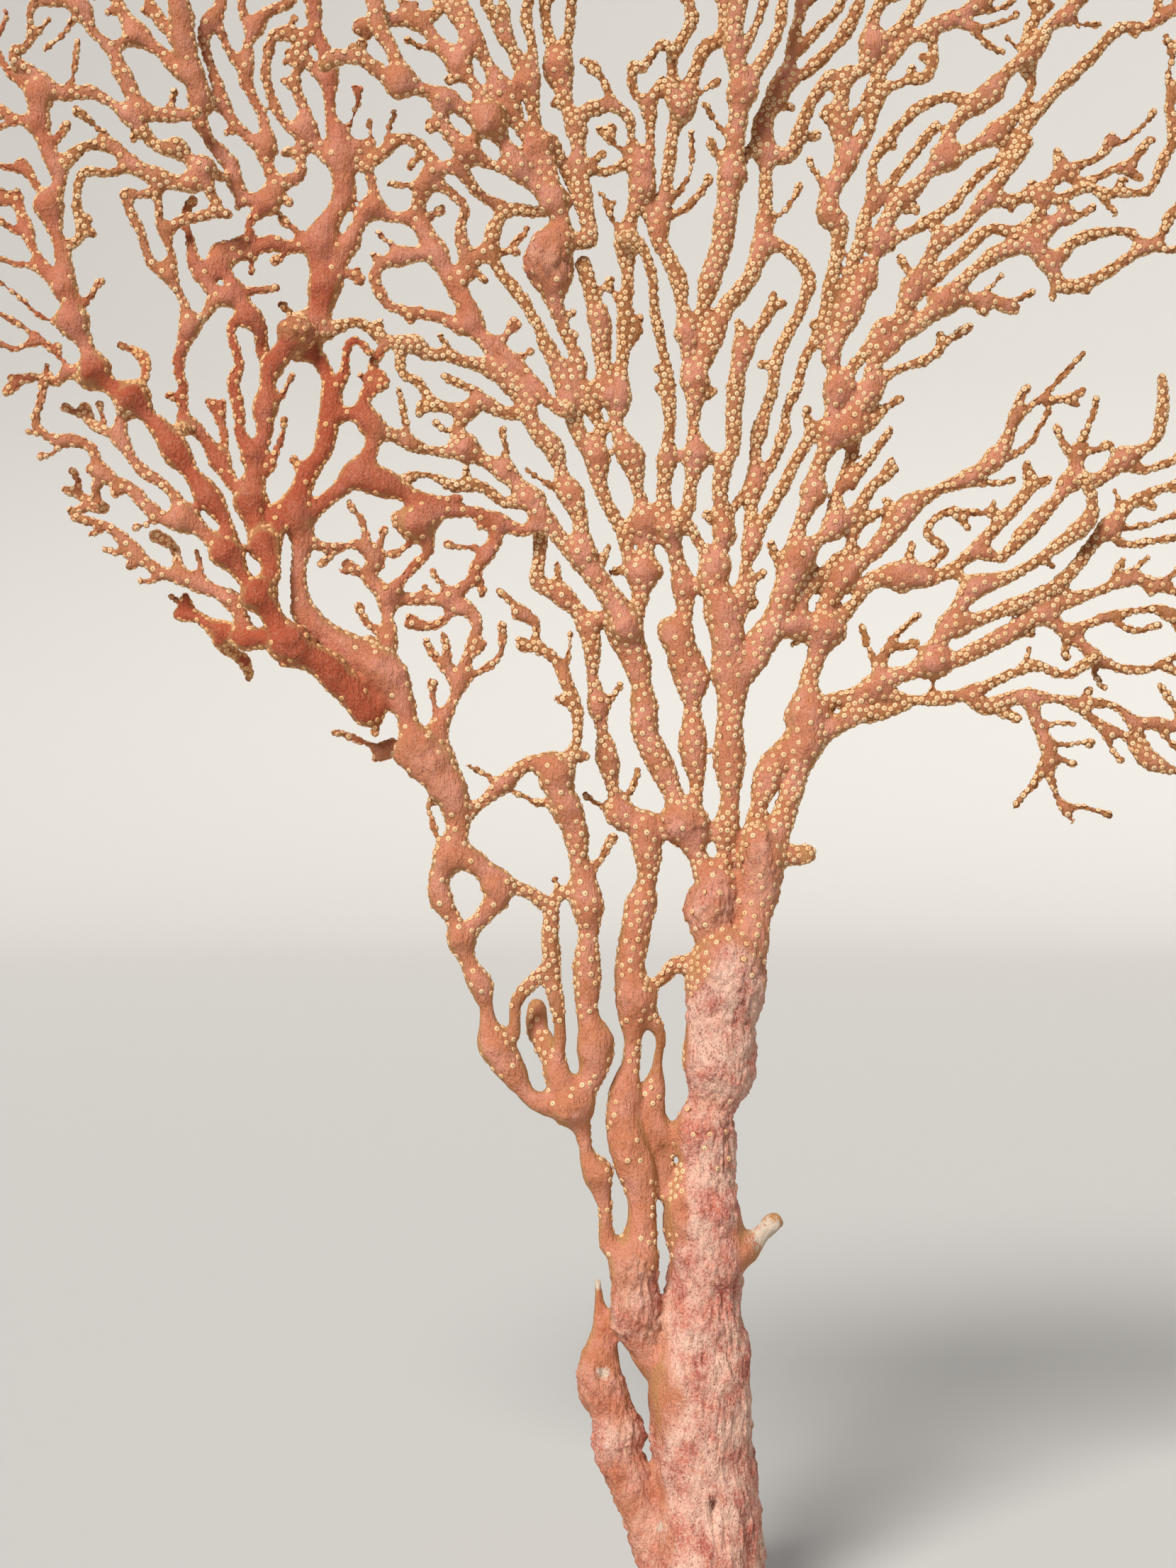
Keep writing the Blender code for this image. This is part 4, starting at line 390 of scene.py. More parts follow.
         (-17.6, 127, 7), (-15.8, 134, 4.6), (-15.4, 141, 5.4), (-14.9, 148.5, 9), (-16, 156, 7),
         (-14.2, 165, 6.8), (-13.2, 171, 7.2), (-12, 177, 5), (-11.7, 184, 6.4), (-12.8, 189.5, 5.4)),
        (None, (0, 95, 8), (-7.5, 103, 5), (-8.1, 109, 4.3), (-8.7, 115, 5.5), (-10.3, 121, 6.2),
         (-10.3, 127, 5.4), (-9.6, 134, 3), (-9, 140.5, 3.2), (-13, 146.5, 5)),
        (None, (-13.5, 149.5, 4.6), (-8.5, 153.6, 3.4), (-5, 156.8, 4.4), (4, 157.5, 5)),
    ),
    "left_inner_branch": (
        (None, (-29, 124.5, 6), (-25.4, 131, 5.4), (-24.1, 138.5, 7.8), (-25.8, 146, 5.2),
         (-26.2, 156, 6.2), (-25.9, 164.5, 4.4), (-26, 171.5, 7.4), (-27.6, 179, 4), (-29, 189, 6),
         (-31.6, 196, 5.6), (-34, 202.2, 7), (-39.5, 204.2, 4), (-45, 200, 3.6), (-50.5, 195, 3),
         (-56.3, 190.5, 4)),
        (None, (-30.4, 125, 6), (-33, 132, 4.8), (-32.6, 143, 3.4), (-34.3, 155.5, 4.3),
         (-34.6, 167, 4.2), (-32.6, 173.6, 3.2), (-26.4, 174.6, 4)),
        (4, (-32.6, 130.4, 5), (-34.4, 135.5, 5.4), (-37.8, 141.5, 5), (-38, 146.5, 4.2)),
        (None, (-47.5, 138.5, 4.6), (-43.2, 141, 3.5), (-42.8, 148, 3.4), (-39.5, 152.8, 3.8),
         (-34.4, 157, 4)),
        (None, (-47.3, 175.8, 5), (-41, 174.8, 3.4), (-34.2, 170.4, 4)),
        (None, (-33, 201.5, 5), (-28.9, 208, 2.8), (-28.6, 216, 3.2), (-33, 227.5, 2.8),
         (-37.6, 232, 2.4), (-38.4, 237.5, 2.4), (-43, 239, 2.2)),
    ),
    "left_centre_branch": (
        (5, (-12.7, 189.5, 5.2), (-18, 191.8, 5.4), (-20, 198, 3.4), (-21.3, 205, 5.5),
         (-22.4, 211.5, 3.5), (-23.8, 218.5, 4.4), (-24.8, 225, 3.3), (-25.2, 233.5, 4), (-28, 240, 3.6),
         (-33.5, 244.9, 4.4), (-38, 246.8, 4), (-37.4, 253, 3.3), (-37.2, 260.8, 4)),
        (None, (-25.5, 237, 4), (-22, 238.4, 4), (-17, 236.7, 6)),
    ),
    "middle_fork": (
        (3, (6, 154, 14), (3, 162, 7.5), (3, 170, 11), (3.6, 176, 8.4), (0, 182, 5), (-2.8, 189, 10),
         (-5.5, 196, 5), (-7.6, 201.5, 5.6), (-12, 209.5, 6.3), (-12.7, 217, 6), (-13.3, 222.5, 4.5),
         (-14.4, 228.5, 7.2), (-16.4, 234, 7), (-17, 236.7, 7.4), (-14, 242, 4), (-12.7, 249, 6.2)),
        (None, (-2.6, 191, 6), (-0.2, 198, 3.8), (-1.3, 209, 6.6), (-1.3, 217, 4.3), (-1.7, 224.5, 7.5),
         (-4.2, 231.5, 6.8), (-5.6, 235, 6.6)),
    ),
    "middle_right_branch": (
        (0, (3.6, 176, 7), (6, 182.5, 4.2), (6.4, 188, 5.6), (7.3, 195, 4.8), (7.5, 203, 7.2),
         (7.5, 215, 6), (8, 224, 6.6), (6.8, 233, 7.6), (6, 240, 7), (3.6, 246, 6.4), (4.2, 250.5, 5.4)),
        (2, (9, 225.5, 6), (13.3, 228.5, 6), (15.8, 234, 6.6), (18.2, 239, 5), (20, 243.8, 5.6),
         (21.7, 248, 4.8), (23.8, 253, 6.6), (23.4, 258.5, 4), (25.6, 264, 4.8), (27.3, 268.6, 6.2),
         (28.3, 274, 4), (30.6, 278.8, 4.2), (32.4, 282, 6.2), (31.5, 286.5, 3.8), (33.2, 292.5, 5.8)),
    ),
    "right_stem": (
        (4, (7.5, 154, 14), (12, 161, 8.4), (13.4, 170, 8.4), (14.6, 178.5, 9.8), (15.4, 185, 10.5),
         (18.4, 187.6, 6.4), (21.8, 195.5, 5), (25.2, 207, 7), (25.8, 215.5, 8), (26.4, 222.5, 4.8),
         (28.3, 229.5, 5.4), (30.2, 235.8, 7)),
        (None, (14, 186, 5.4), (14, 193.5, 4.3), (16.4, 201, 6.2), (20, 206.2, 5.6), (24.4, 210, 6)),
        (2, (16, 182.3, 6), (20, 182.5, 4.6), (25.8, 182.5, 5)),
    ),
    "middle_tall_branch": (
        (0, (-5.6, 235, 6.6), (-3.3, 239.5, 4), (-3.4, 246, 6.4), (-5, 252, 3.6), (-7, 259.5, 6.6),
         (-8.2, 267, 3.7), (-7.4, 275.3, 4.8), (-6.6, 284, 3.2), (-7, 291.5, 3.6), (-7.6, 298, 2.6),
         (-8.8, 303.5, 3), (-10.4, 312, 2.7), (-11, 319.5, 2.7), (-13.2, 325.2, 2.8), (-16.6, 327.4, 4.6)),
        (0, (-0.6, 277, 5.6), (-1.6, 270, 3.8), (-2.7, 263.5, 3.8), (-6.4, 259.6, 5.4)),
        (None, (-12.7, 249, 6), (-12, 254.5, 3.8), (-12.8, 261, 5.6), (-7, 261, 4)),
    ),
    "tall_left_branch": (
        (4, (-12.8, 261, 5.4), (-14, 268.5, 3.6), (-15.8, 277, 6.4), (-18.8, 283, 3.6), (-19, 289.5, 5.4),
         (-20.6, 293, 5.6), (-22.4, 299, 3.8), (-23.3, 308.5, 5.4), (-24.9, 314, 4), (-26.8, 322.5, 4)),
        (None, (-12.7, 249, 5.6), (-16.2, 253, 4), (-18.5, 260, 3.7), (-22.6, 268.5, 4.2),
         (-24, 276.5, 5), (-28.2, 282, 4.2), (-30.2, 289.5, 4.2), (-32.6, 297, 4.6), (-36, 304, 3.4),
         (-41.2, 313.6, 3.5), (-47.5, 321.8, 3.4), (-49, 327.5, 3.4), (-45.4, 334.8, 4),
         (-38, 334.8, 3.4), (-34.2, 336.4, 5)),
        (None, (-24, 276.5, 4), (-23.2, 284, 3.2), (-26.4, 291.5, 4.4), (-20.8, 292.6, 4)),
        (4, (-18.6, 291.5, 4.6), (-17.7, 300, 3.3), (-17.3, 309, 3.5), (-16.4, 318, 3),
         (-16.8, 327.3, 4.6), (-15.4, 334.5, 3.2), (-13.2, 340.5, 4.6)),
    ),
    "knotted_branch": (
        (-6, (-30.4, 290, 4), (-28, 297.5, 3.6), (-31, 305.5, 3.3), (-33.5, 312, 4), (-34.3, 318, 8.5),
         (-35, 324, 10.5), (-32.6, 330.5, 4.6), (-34.2, 336.6, 7.4), (-38.4, 340, 4), (-42, 344.3, 6.2),
         (-46, 349.8, 4), (-49.3, 354, 8.4), (-54, 356.4, 4), (-59.5, 359.6, 4), (-64.5, 361.5, 3.8),
         (-69, 362.8, 6), (-74, 365, 3.6), (-79, 368.2, 3.4), (-84.5, 368.6, 4.6), (-87.2, 366.5, 4)),
        (2, (-69, 362.8, 5), (-71.3, 370, 3.8), (-75.5, 377.3, 4.4), (-76, 383, 4), (-78.5, 390, 3),
         (-79.5, 397, 2.4)),
        (None, (-59.8, 359, 4), (-59.8, 353.5, 3.4), (-54, 347.4, 4.6), (-48.5, 344.6, 3),
         (-42, 343.6, 4)),
    ),
    "knotted_upper_left": (
        (3, (-49.3, 354, 6), (-51.6, 361.5, 3.2), (-56.5, 368.4, 4.4), (-61, 373.2, 3.2), (-66, 379, 3.2),
         (-71.5, 380, 3), (-79.5, 378.3, 4)),
        (None, (-56, 368, 3.4), (-53.4, 374, 3.8), (-50, 369, 3.2), (-46.4, 362.4, 5.6),
         (-41.4, 353, 3.3), (-38, 349.4, 5), (-34.7, 342, 4), (-34.2, 337, 5)),
        (2, (-52.6, 374.2, 3.6), (-54.3, 381, 2.8), (-56.5, 388, 2.6), (-57, 395, 2.2)),
        (4, (-53.6, 374, 3.4), (-58.2, 382, 3.4), (-61, 388.5, 2.8), (-64, 395.5, 2.2)),
        (3, (-66, 379, 3), (-61, 382.3, 2.8), (-66, 389, 2.6), (-69.5, 396, 2.2)),
    ),
    "knotted_web": (
        (None, (-53.8, 347.2, 4), (-57, 344.2, 3.2), (-62, 343.6, 4), (-65.6, 338.4, 3.8),
         (-66.6, 332.6, 4)),
        (None, (-56, 344, 3), (-51.8, 338.6, 3), (-45.8, 335.4, 4)),
        (None, (-61.6, 340.8, 3), (-55.4, 336.2, 2.8), (-56, 330, 3), (-54.6, 321.8, 3.6),
         (-57, 317.6, 4)),
        (None, (-54.8, 321.4, 3), (-48.9, 326.5, 3.2)),
        (None, (-81.5, 348.5, 3), (-78.2, 345.6, 2.6), (-69.5, 351.8, 3), (-63.5, 347.2, 3.2),
         (-61.5, 343.8, 4)),
    ),
    "crown_middle_left": (
        (-3, (-38, 349.6, 4.6), (-38.4, 356.5, 3.2), (-39.8, 364, 5), (-42.8, 370, 3.2),
         (-45.4, 374.8, 3.4), (-49.2, 381.5, 3), (-52, 388, 2.6), (-52.5, 394, 2.2)),
        (3, (-39.6, 365, 4), (-39, 372, 2.8), (-40.6, 380.5, 3.2), (-39.6, 387, 2.8), (-42, 396, 2.2)),
        (2, (-45.2, 374.6, 3), (-45.6, 381.5, 2.7), (-47.5, 390, 2.2)),
        (4, (-37, 350, 4), (-33.9, 351, 2.8), (-32, 345.5, 2.6), (-29.5, 340.5, 3)),
    ),
    "crown_middle_branch": (
        (7, (-31.5, 327.8, 4.6), (-25.4, 327.3, 4.2), (-26.4, 333.5, 4), (-27.5, 340, 4.6),
         (-28.2, 347, 3.2), (-28.8, 355, 5.2), (-31.2, 360.5, 3.2), (-32.6, 368, 5.8),
         (-34.8, 375.5, 3.2), (-36.2, 383, 3), (-35.5, 390, 2.8), (-37.5, 400, 2.2)),
        (0, (-32, 369.5, 4.4), (-30.5, 377, 3.2), (-29.8, 386, 2.8), (-30.5, 397, 2.2)),
    ),
    "crown_cluster_branch": (
        (2, (-13.2, 340.5, 4.6), (-13.3, 345.6, 4.6), (-15.6, 351, 3), (-16.2, 356.6, 3),
         (-21, 359.4, 2.6), (-25.2, 358.6, 4.4)),
        (2, (-13.2, 345, 4), (-11.2, 350.5, 3), (-11.6, 359.6, 3.4), (-15, 362.6, 2.4),
         (-15.4, 369.4, 2.6), (-13, 368, 2.4), (-10.5, 372, 2.4), (-7.8, 374.2, 2.6), (-5.6, 372, 3)),
        (None, (-11.4, 360, 3), (-8, 365.4, 3), (-3.8, 358.8, 5)),
        (None, (-28.3, 346, 3), (-22.4, 343.8, 2.4), (-14.6, 347.4, 3)),
    ),
    "middle_crown_stem": (
        (5, (-0.6, 277, 5.4), (-1, 284, 3.3), (-0.6, 293.5, 5.4), (-2.4, 299.5, 3), (-2.2, 305.8, 4.6),
         (-3.6, 312, 3.3), (-4.8, 319.6, 4), (-8.5, 327, 3.4), (-10.8, 333.6, 3.4), (-13.2, 340, 4)),
        (7, (-9, 330, 3.6), (-7.7, 338, 2.9), (-6.7, 346.5, 3.6), (-5.8, 354, 3), (-3.9, 359, 5.2),
         (-1.8, 365, 3.4), (1.6, 373.8, 3.8), (6, 377, 4.2), (6.6, 383.5, 3.6), (5, 391, 3),
         (5.5, 400, 2.4)),
        (2, (-3.4, 361, 3.6), (-5.8, 367, 2.8), (-5.6, 372.3, 3.2), (-2.2, 377.5, 3), (-1.3, 381.5, 3.2),
         (-3.6, 388, 2.6), (-4, 395, 2.2)),
        (None, (-0.8, 278, 3.2), (4, 276, 3.2), (6.2, 274, 4)),
    ),
    "middle_great_branch": (
        (0, (4.2, 250.5, 5.4), (5.3, 254, 3.5), (6.2, 259, 4.6), (5.2, 267, 3.5), (6.2, 274, 4.6),
         (8.3, 279, 3.5), (8.3, 288, 4.6), (9.2, 296, 3.8), (10.8, 303, 4.2), (9.2, 308, 2.2)),
        (None, (3.8, 250.8, 4.6), (0.6, 255.5, 3), (-2.2, 259.6, 3.6), (-6.4, 259.6, 4.6)),
        (4, (10, 301.5, 4), (14, 306, 3), (16.6, 310.7, 3.6), (18, 315, 2.2)),
    ),
    "middle_crown_branch": (
        (-3, (-2.1, 305.6, 4), (0.9, 311, 3.2), (3.2, 319, 5.2), (6, 327.5, 5), (6.9, 334, 5.2),
         (8.3, 345, 5), (8.9, 352, 3.5), (10, 361, 5.6), (9.2, 367, 4.6), (8.2, 374, 4), (9.2, 382, 4.8),
         (10.4, 389, 4), (11.5, 397, 3), (11, 405, 2.4)),
        (4, (10.8, 362, 5), (13.3, 366.4, 3.6), (16.6, 371.7, 4), (19, 377, 3.2), (20.2, 384, 2.8),
         (21.5, 392, 2.4), (21, 399, 2)),
        (2, (9.2, 371.5, 3.4), (12, 374, 2.6), (15, 381.5, 2.6), (17, 390, 2.2)),
    ),
    "front_tall_branch": (
        (12, (-1.6, 295, 4.6), (1.6, 299, 4), (3.6, 305, 5.4), (6.4, 311.5, 4.2), (12, 318.4, 4.2),
         (15.2, 326, 4.2), (16, 335, 3.4), (16.4, 343, 3.4), (16.4, 349.6, 4.4), (15.8, 356.6, 4.4),
         (20.4, 366.2, 4.2), (22.6, 373, 3.2), (24, 381, 3), (26, 389, 2.6), (26, 396, 2.2)),
        (3, (20.6, 366.4, 4), (27, 370, 3.2), (33.6, 376, 3.6), (37.2, 381.5, 3.4), (40, 389, 2.8),
         (41.5, 396, 2.2)),
        (2, (24, 375, 3), (29.7, 380, 2.8), (34, 384, 2.6), (35, 391, 2.2)),
        (None, (15.6, 327, 4), (20.5, 326.6, 3.4), (26.4, 319.5, 3.4), (23.6, 310, 3.2), (19, 300.5, 3.2),
         (17.3, 291, 3.2)),
        (None, (16.2, 354.5, 3.4), (10.6, 347, 3), (7.6, 341, 3)),
        (3, (16.4, 349.4, 4), (22, 349.2, 4), (26.4, 360, 3.2), (31.5, 366.6, 3.8)),
    ),
    "slender_right_branch": (
        (7, (8.8, 240, 5), (11.2, 245.5, 4.4), (11, 250, 3.2), (12.5, 255.8, 4), (12.4, 262, 3),
         (13.5, 271, 4.2), (13.8, 278.5, 3.2), (14.8, 283.5, 4), (17.3, 291, 3.3)),
        (None, (6.6, 258, 4), (8.6, 264.5, 2.4), (13.2, 270.8, 3.6)),
        (3, (13.6, 270.8, 3.4), (16.6, 273.6, 2.5), (20.3, 281.8, 3.5), (20.8, 287, 2.8),
         (23.6, 293.6, 3.2), (25.2, 299.5, 2.9), (29.4, 307, 3.4)),
        (None, (12.6, 256, 3.4), (19.3, 267.7, 3.1), (23.6, 276.5, 3.2), (28.8, 284, 3), (31.8, 283.2, 4)),
    ),
    "right_tall_branch": (
        (0, (33.2, 292.5, 5.8), (31.9, 296.8, 3.2), (31.6, 300.5, 4), (33.2, 305, 5), (36.6, 311.5, 3.5),
         (39.3, 317.6, 4.6), (41.6, 323.5, 3.3), (43.2, 327, 5), (45.4, 333.5, 3.8), (48.6, 337.4, 4.8),
         (54, 343, 3.6), (58.2, 347, 6), (59, 352.5, 3.4), (62.5, 357.2, 3.8), (65.2, 358.8, 5),
         (69.7, 362.6, 5.2), (72.6, 366.8, 3.2), (78.8, 371.5, 4.2), (83.2, 377.8, 3.2), (87, 380, 3.6),
         (89.5, 385, 3.4), (93, 391, 2.8), (94, 398, 2.2)),
        (3, (31.4, 299, 3.6), (29.8, 308, 3.2), (31, 317, 3.5), (33, 325.5, 3.4), (33.4, 331, 4.2),
         (30.8, 334, 6), (31.4, 339.5, 3.8), (35, 346.5, 5), (33.6, 353, 3.4), (33.8, 361, 3.6),
         (34.6, 366.6, 4.6), (38.5, 368, 3.2), (41, 373, 5), (41.6, 380, 3.8), (43.8, 385, 3.2),
         (46, 392, 2.6), (46, 399, 2.2)),
        (3, (40.8, 374, 4.6), (46, 376.4, 3.5), (51.2, 382.5, 3.8), (54, 389, 3), (56, 397, 2.2)),
        (None, (39.6, 318, 3.6), (36, 307.6, 3)),
    ),
    "right_crown_web": (
        (3, (36, 347.6, 4), (40.2, 354, 3.2), (43.5, 362.4, 3.2), (48.2, 365, 2.8), (54.5, 366.6, 3),
         (55.8, 372.8, 3), (55, 377.4, 5), (60.5, 380, 3.6), (68, 384.6, 3.2), (72, 390, 2.8),
         (74, 397, 2.2)),
        (None, (34.2, 354, 3), (38.6, 359, 2.6), (43, 367, 3.2), (49.6, 375, 3.8), (54.6, 376.6, 4)),
    ),
    "right_crown_lattice": (
        (2, (36.5, 312, 4), (33.2, 309, 3), (36.4, 322, 3.2), (38.8, 328.6, 4), (39.5, 333.5, 3.2),
         (45.4, 341, 3), (50, 347, 3), (56.2, 354.8, 2.8)),
        (None, (41.5, 336.4, 3.4), (41, 344, 3), (43.8, 350, 3), (52, 358.8, 3), (59.6, 361, 2.8),
         (65, 358.8, 4)),
    ),
    "crown_right_branch": (
        (3, (58.4, 347, 5), (62.5, 348, 3.5), (69.6, 352.4, 4.2), (76, 359, 3.1), (78.7, 364.4, 3),
         (77.6, 369.5, 3.4)),
        (None, (70.4, 352.6, 3.4), (74.4, 350.4, 3.2), (81.2, 359.4, 3.6), (88.5, 366.7, 3.8),
         (93.7, 371.5, 3), (99.6, 377.5, 3.2), (105, 377.4, 2.8), (112, 381.6, 2.6), (118, 386, 2.4),
         (122, 391, 2)),
        (2, (77.8, 369.5, 3.6), (78.4, 378, 3.2), (81, 382.4, 2.6), (82.5, 390, 2.4), (81, 397, 2)),
    ),
    "right_long_branch": (
        (0, (33, 281.8, 5.6), (37.6, 283.4, 4.2), (37.2, 287, 5.2), (40.6, 292, 4.8), (41.2, 297, 3.2),
         (44.6, 302.4, 4.2), (48.5, 305, 3.6), (56.6, 311.6, 4.8), (64.1, 319.2, 3.7), (71.2, 324.4, 4.5),
         (78.6, 327.4, 4.2), (84, 331.4, 3.2), (87, 334.3, 3)),
        (0, (44.2, 302.6, 4), (43.6, 306.4, 4.2), (47.6, 308.4, 4), (50.6, 316, 4.6), (54.3, 323, 3.4),
         (57, 327, 4.6), (63.6, 331.8, 3.2), (67.6, 337, 3.8), (73.8, 344.8, 3.7), (77.6, 350.6, 3)),
        (None, (51.4, 315.4, 3.6), (60.7, 323.2, 3.3), (68.7, 329.8, 3.2), (74.9, 329.6, 3),
         (80.8, 334.4, 3), (80.4, 337, 3.4)),
        (2, (43.2, 326.6, 4), (50.8, 330, 3.2), (59, 335, 3), (65.3, 341.8, 2.8), (72.3, 347.8, 2.6)),
        (None, (56, 331.3, 2.8), (57, 327.4, 3.6)),
        (None, (43.6, 306.6, 4), (37.3, 298.8, 3.2), (33.6, 293.4, 4)),
        (3, (58.2, 312.6, 4), (67.5, 313.8, 3.1), (75, 311.5, 3)),
        (4, (41.6, 293, 3.6), (47.7, 297.3, 2.8), (55, 300, 2.8), (59.6, 304.3, 2.4), (64.4, 307.6, 2.4)),
        (3, (40, 283.4, 3), (43.4, 287.2, 2.5), (48, 290.6, 2.6)),
    ),
    "right_arch_branch": (
        (2, (67.8, 336.8, 3.6), (75.5, 337.2, 3.2), (82.5, 340.5, 3.2), (85.4, 344, 3.2),
         (84.8, 348.3, 2.6)),
        (2, (80.4, 337.8, 3), (85, 336.8, 3), (90, 339.3, 2.8), (98, 338.3, 2.8), (106, 339.2, 2.6),
         (109, 345, 3), (112, 352, 2.6), (111.3, 360, 2.4), (116, 368, 2)),
        (3, (86.4, 344.4, 3), (93, 346.4, 2.4), (96.2, 349, 2.5), (97.8, 352.6, 2.4)),
        (3, (86.4, 343.4, 3), (91.5, 341.3, 2.8), (99, 344.8, 2.4), (104.8, 342.5, 2.2)),
    ),
    "right_hook_branch": (
        (4, (78.8, 326.6, 4), (82.4, 321.5, 3.8), (86, 316.2, 3.6), (95, 319, 3), (103.6, 324.8, 3.2),
         (109, 328, 2.9), (112, 334, 2.8), (119, 339.5, 2.6), (126, 345.5, 2.2)),
        (3, (83.4, 321.9, 3.4), (88.8, 327, 3.2), (95.5, 329.4, 3), (102.5, 329.4, 2.8), (104, 325, 2.8)),
    ),
    "right_low_loop_branch": (
        (6, (23.6, 252.8, 5), (28.8, 257.2, 3.6), (32.2, 260.2, 5), (33, 267.5, 3), (35.6, 274.5, 3.2),
         (37.6, 281.5, 4)),
        (3, (33, 260.8, 4), (37.6, 263.6, 3.5), (40.5, 268.6, 3), (46.4, 273.6, 2.8)),
        (3, (35.4, 270, 3.2), (40.4, 276, 3), (45.6, 283, 2)),
    ),
    "right_limb": (
        (2, (30.2, 235.8, 7), (29.9, 240, 5), (34.2, 248.4, 5.2), (38.8, 252, 4), (44, 257.4, 5.2),
         (50, 264.6, 5.8), (57, 268.9, 3), (65.5, 272.4, 3.6), (70.8, 277, 4), (74, 283.6, 2.8),
         (75.2, 288.6, 2.5), (77.5, 292.8, 2.4)),
        (2, (34.4, 249, 4.6), (36.8, 257.4, 3.2), (38.6, 260.8, 3.2), (43, 263.6, 2.4)),
        (2, (75.2, 286, 2.4), (80.6, 290, 1.8), (86.8, 296.4, 2), (91, 301, 1.6)),
        (None, (31, 234.6, 5), (23.6, 236.6, 4.6), (17, 235.6, 5)),
        (3, (23.4, 237, 4.6), (25.2, 243.8, 4.2), (32.5, 253, 2.4)),
    ),
    "right_middle_limb": (
        (4, (31, 235.4, 5), (36, 240.6, 3.2), (41.5, 247.6, 4), (50, 248.6, 5.6), (57, 248.4, 3.2),
         (64.6, 253.4, 3.4), (68.6, 258, 3.4), (75.8, 265.6, 3.6), (78.5, 269.5, 3.2), (79.6, 272.5, 2.2)),
        (3, (66.8, 254.6, 3.4), (71.9, 253, 3.1), (78, 259.4, 4), (84.4, 266.2, 3.4), (88.8, 271.3, 4.4),
         (95, 271.3, 3.2), (101, 276.6, 4.4), (108, 280.4, 3.2), (109.9, 288, 3.4), (109.7, 295.2, 3)),
        (3, (88.9, 272, 3.6), (90.3, 279, 2.5), (93.4, 286.5, 2.2), (94.2, 290.6, 2.2)),
        (3, (101, 275, 3), (105.4, 273.6, 2.6), (112.5, 276, 3), (119, 279.4, 2.8), (123, 284.5, 2.4),
         (128, 290, 2)),
        (None, (53.2, 247, 4), (54.6, 250.8, 2.6), (58.6, 254.8, 2.5), (54.2, 258.8, 3.2), (59, 264, 2.4),
         (65, 263.4, 2.1), (72.6, 263, 3)),
    ),
    "lower_right_stem": (
        (-3, (25.8, 215.5, 6), (32, 219, 3.8), (39, 220.6, 4.6), (45, 224, 4.4), (50.5, 225.8, 4.2),
         (55.4, 228.4, 6.4), (57, 233.4, 4.5), (60, 238, 5), (62, 242, 4), (65.6, 245.8, 4.7),
         (74.6, 248.8, 3.1), (83, 254.2, 3.3), (91, 260.6, 4.6), (92, 266, 3), (90, 270.6, 3.8)),
        (None, (65.4, 245.4, 4), (62, 248.2, 2.6), (60.6, 250.6, 3)),
        (3, (60.4, 236.2, 4), (69, 239.4, 3.5), (77, 242.4, 3.8), (86.6, 248, 3.5), (92, 254.4, 3.3),
         (96, 259, 4), (104.2, 266.8, 3.1), (111.7, 269.8, 2.7), (118, 273.4, 2.6), (125.5, 276.5, 2.4),
         (131, 281, 2)),
        (3, (97, 259.6, 3.4), (100.2, 256, 2.3), (106, 256.4, 2.5), (112.5, 257.6, 2.6)),
    ),
    "lower_right_limb": (
        (3, (56, 227.6, 5), (62.6, 229.4, 3.8), (66.2, 231, 4.6), (73.6, 235, 5), (81, 239.4, 4),
         (88.6, 242.8, 4), (95, 244.9, 3.1), (102.4, 247.8, 3), (109.5, 246, 2.9), (116, 244.4, 2.6),
         (122.5, 247.5, 2.4), (129, 249.5, 2)),
        (4, (82.4, 239, 3.4), (87.8, 235.4, 3.4), (95.4, 238.4, 2.6), (106.8, 240.7, 2.6),
         (113, 239.6, 2.5), (121, 241.5, 2.3), (128.5, 239.5, 2)),
        (None, (84.4, 246.4, 3), (88, 243.3, 3.6)),
        (3, (88.4, 234.6, 3), (94, 229.3, 3), (100.4, 226.4, 2.5), (107.5, 226.7, 2.5), (113, 229.6, 2.3),
         (120, 229, 2.3), (127, 231.5, 2)),
    ),
    "lower_right_web": (
        (-2, (42, 221.4, 4), (50, 219.3, 3), (58, 219.5, 3.4), (65.5, 221.5, 3), (72, 224.6, 2.7),
         (79.5, 227, 3), (86, 225, 2.4), (93, 229, 3)),
        (2, (64, 220.8, 4), (67.3, 217.3, 4.2), (74, 219.5, 3.5), (79, 219.9, 3.4), (88, 218.5, 2.7),
         (94.5, 213.3, 2.8), (101, 210.2, 2.3), (106.5, 205, 5.4), (113, 202.4, 2.3), (120, 203.4, 2.3),
         (127.5, 200.5, 2)),
        (2, (78.3, 219, 3.2), (79.6, 214.6, 2.7), (82.5, 207.6, 3.3), (83.2, 200.5, 2.5),
         (85.6, 195, 2.2), (88.2, 190.8, 1.8)),
        (3, (82.5, 205, 3), (79, 199, 2.5), (75, 194.3, 2)),
        (2, (88, 218.8, 2.7), (98.5, 217.5, 2.4), (105, 210, 2.4), (105.8, 206.5, 3.4)),
        (None, (25.5, 208.5, 5), (33.5, 213.5, 5), (38, 215.8, 4.6), (44, 215.8, 3), (49, 217.8, 2.5),
         (51, 219.2, 3)),
        (3, (102, 214.4, 2.4), (107.5, 213.6, 2.9), (114, 213, 2.4), (121, 215.5, 2.3), (127.5, 214, 2)),
    ),
}
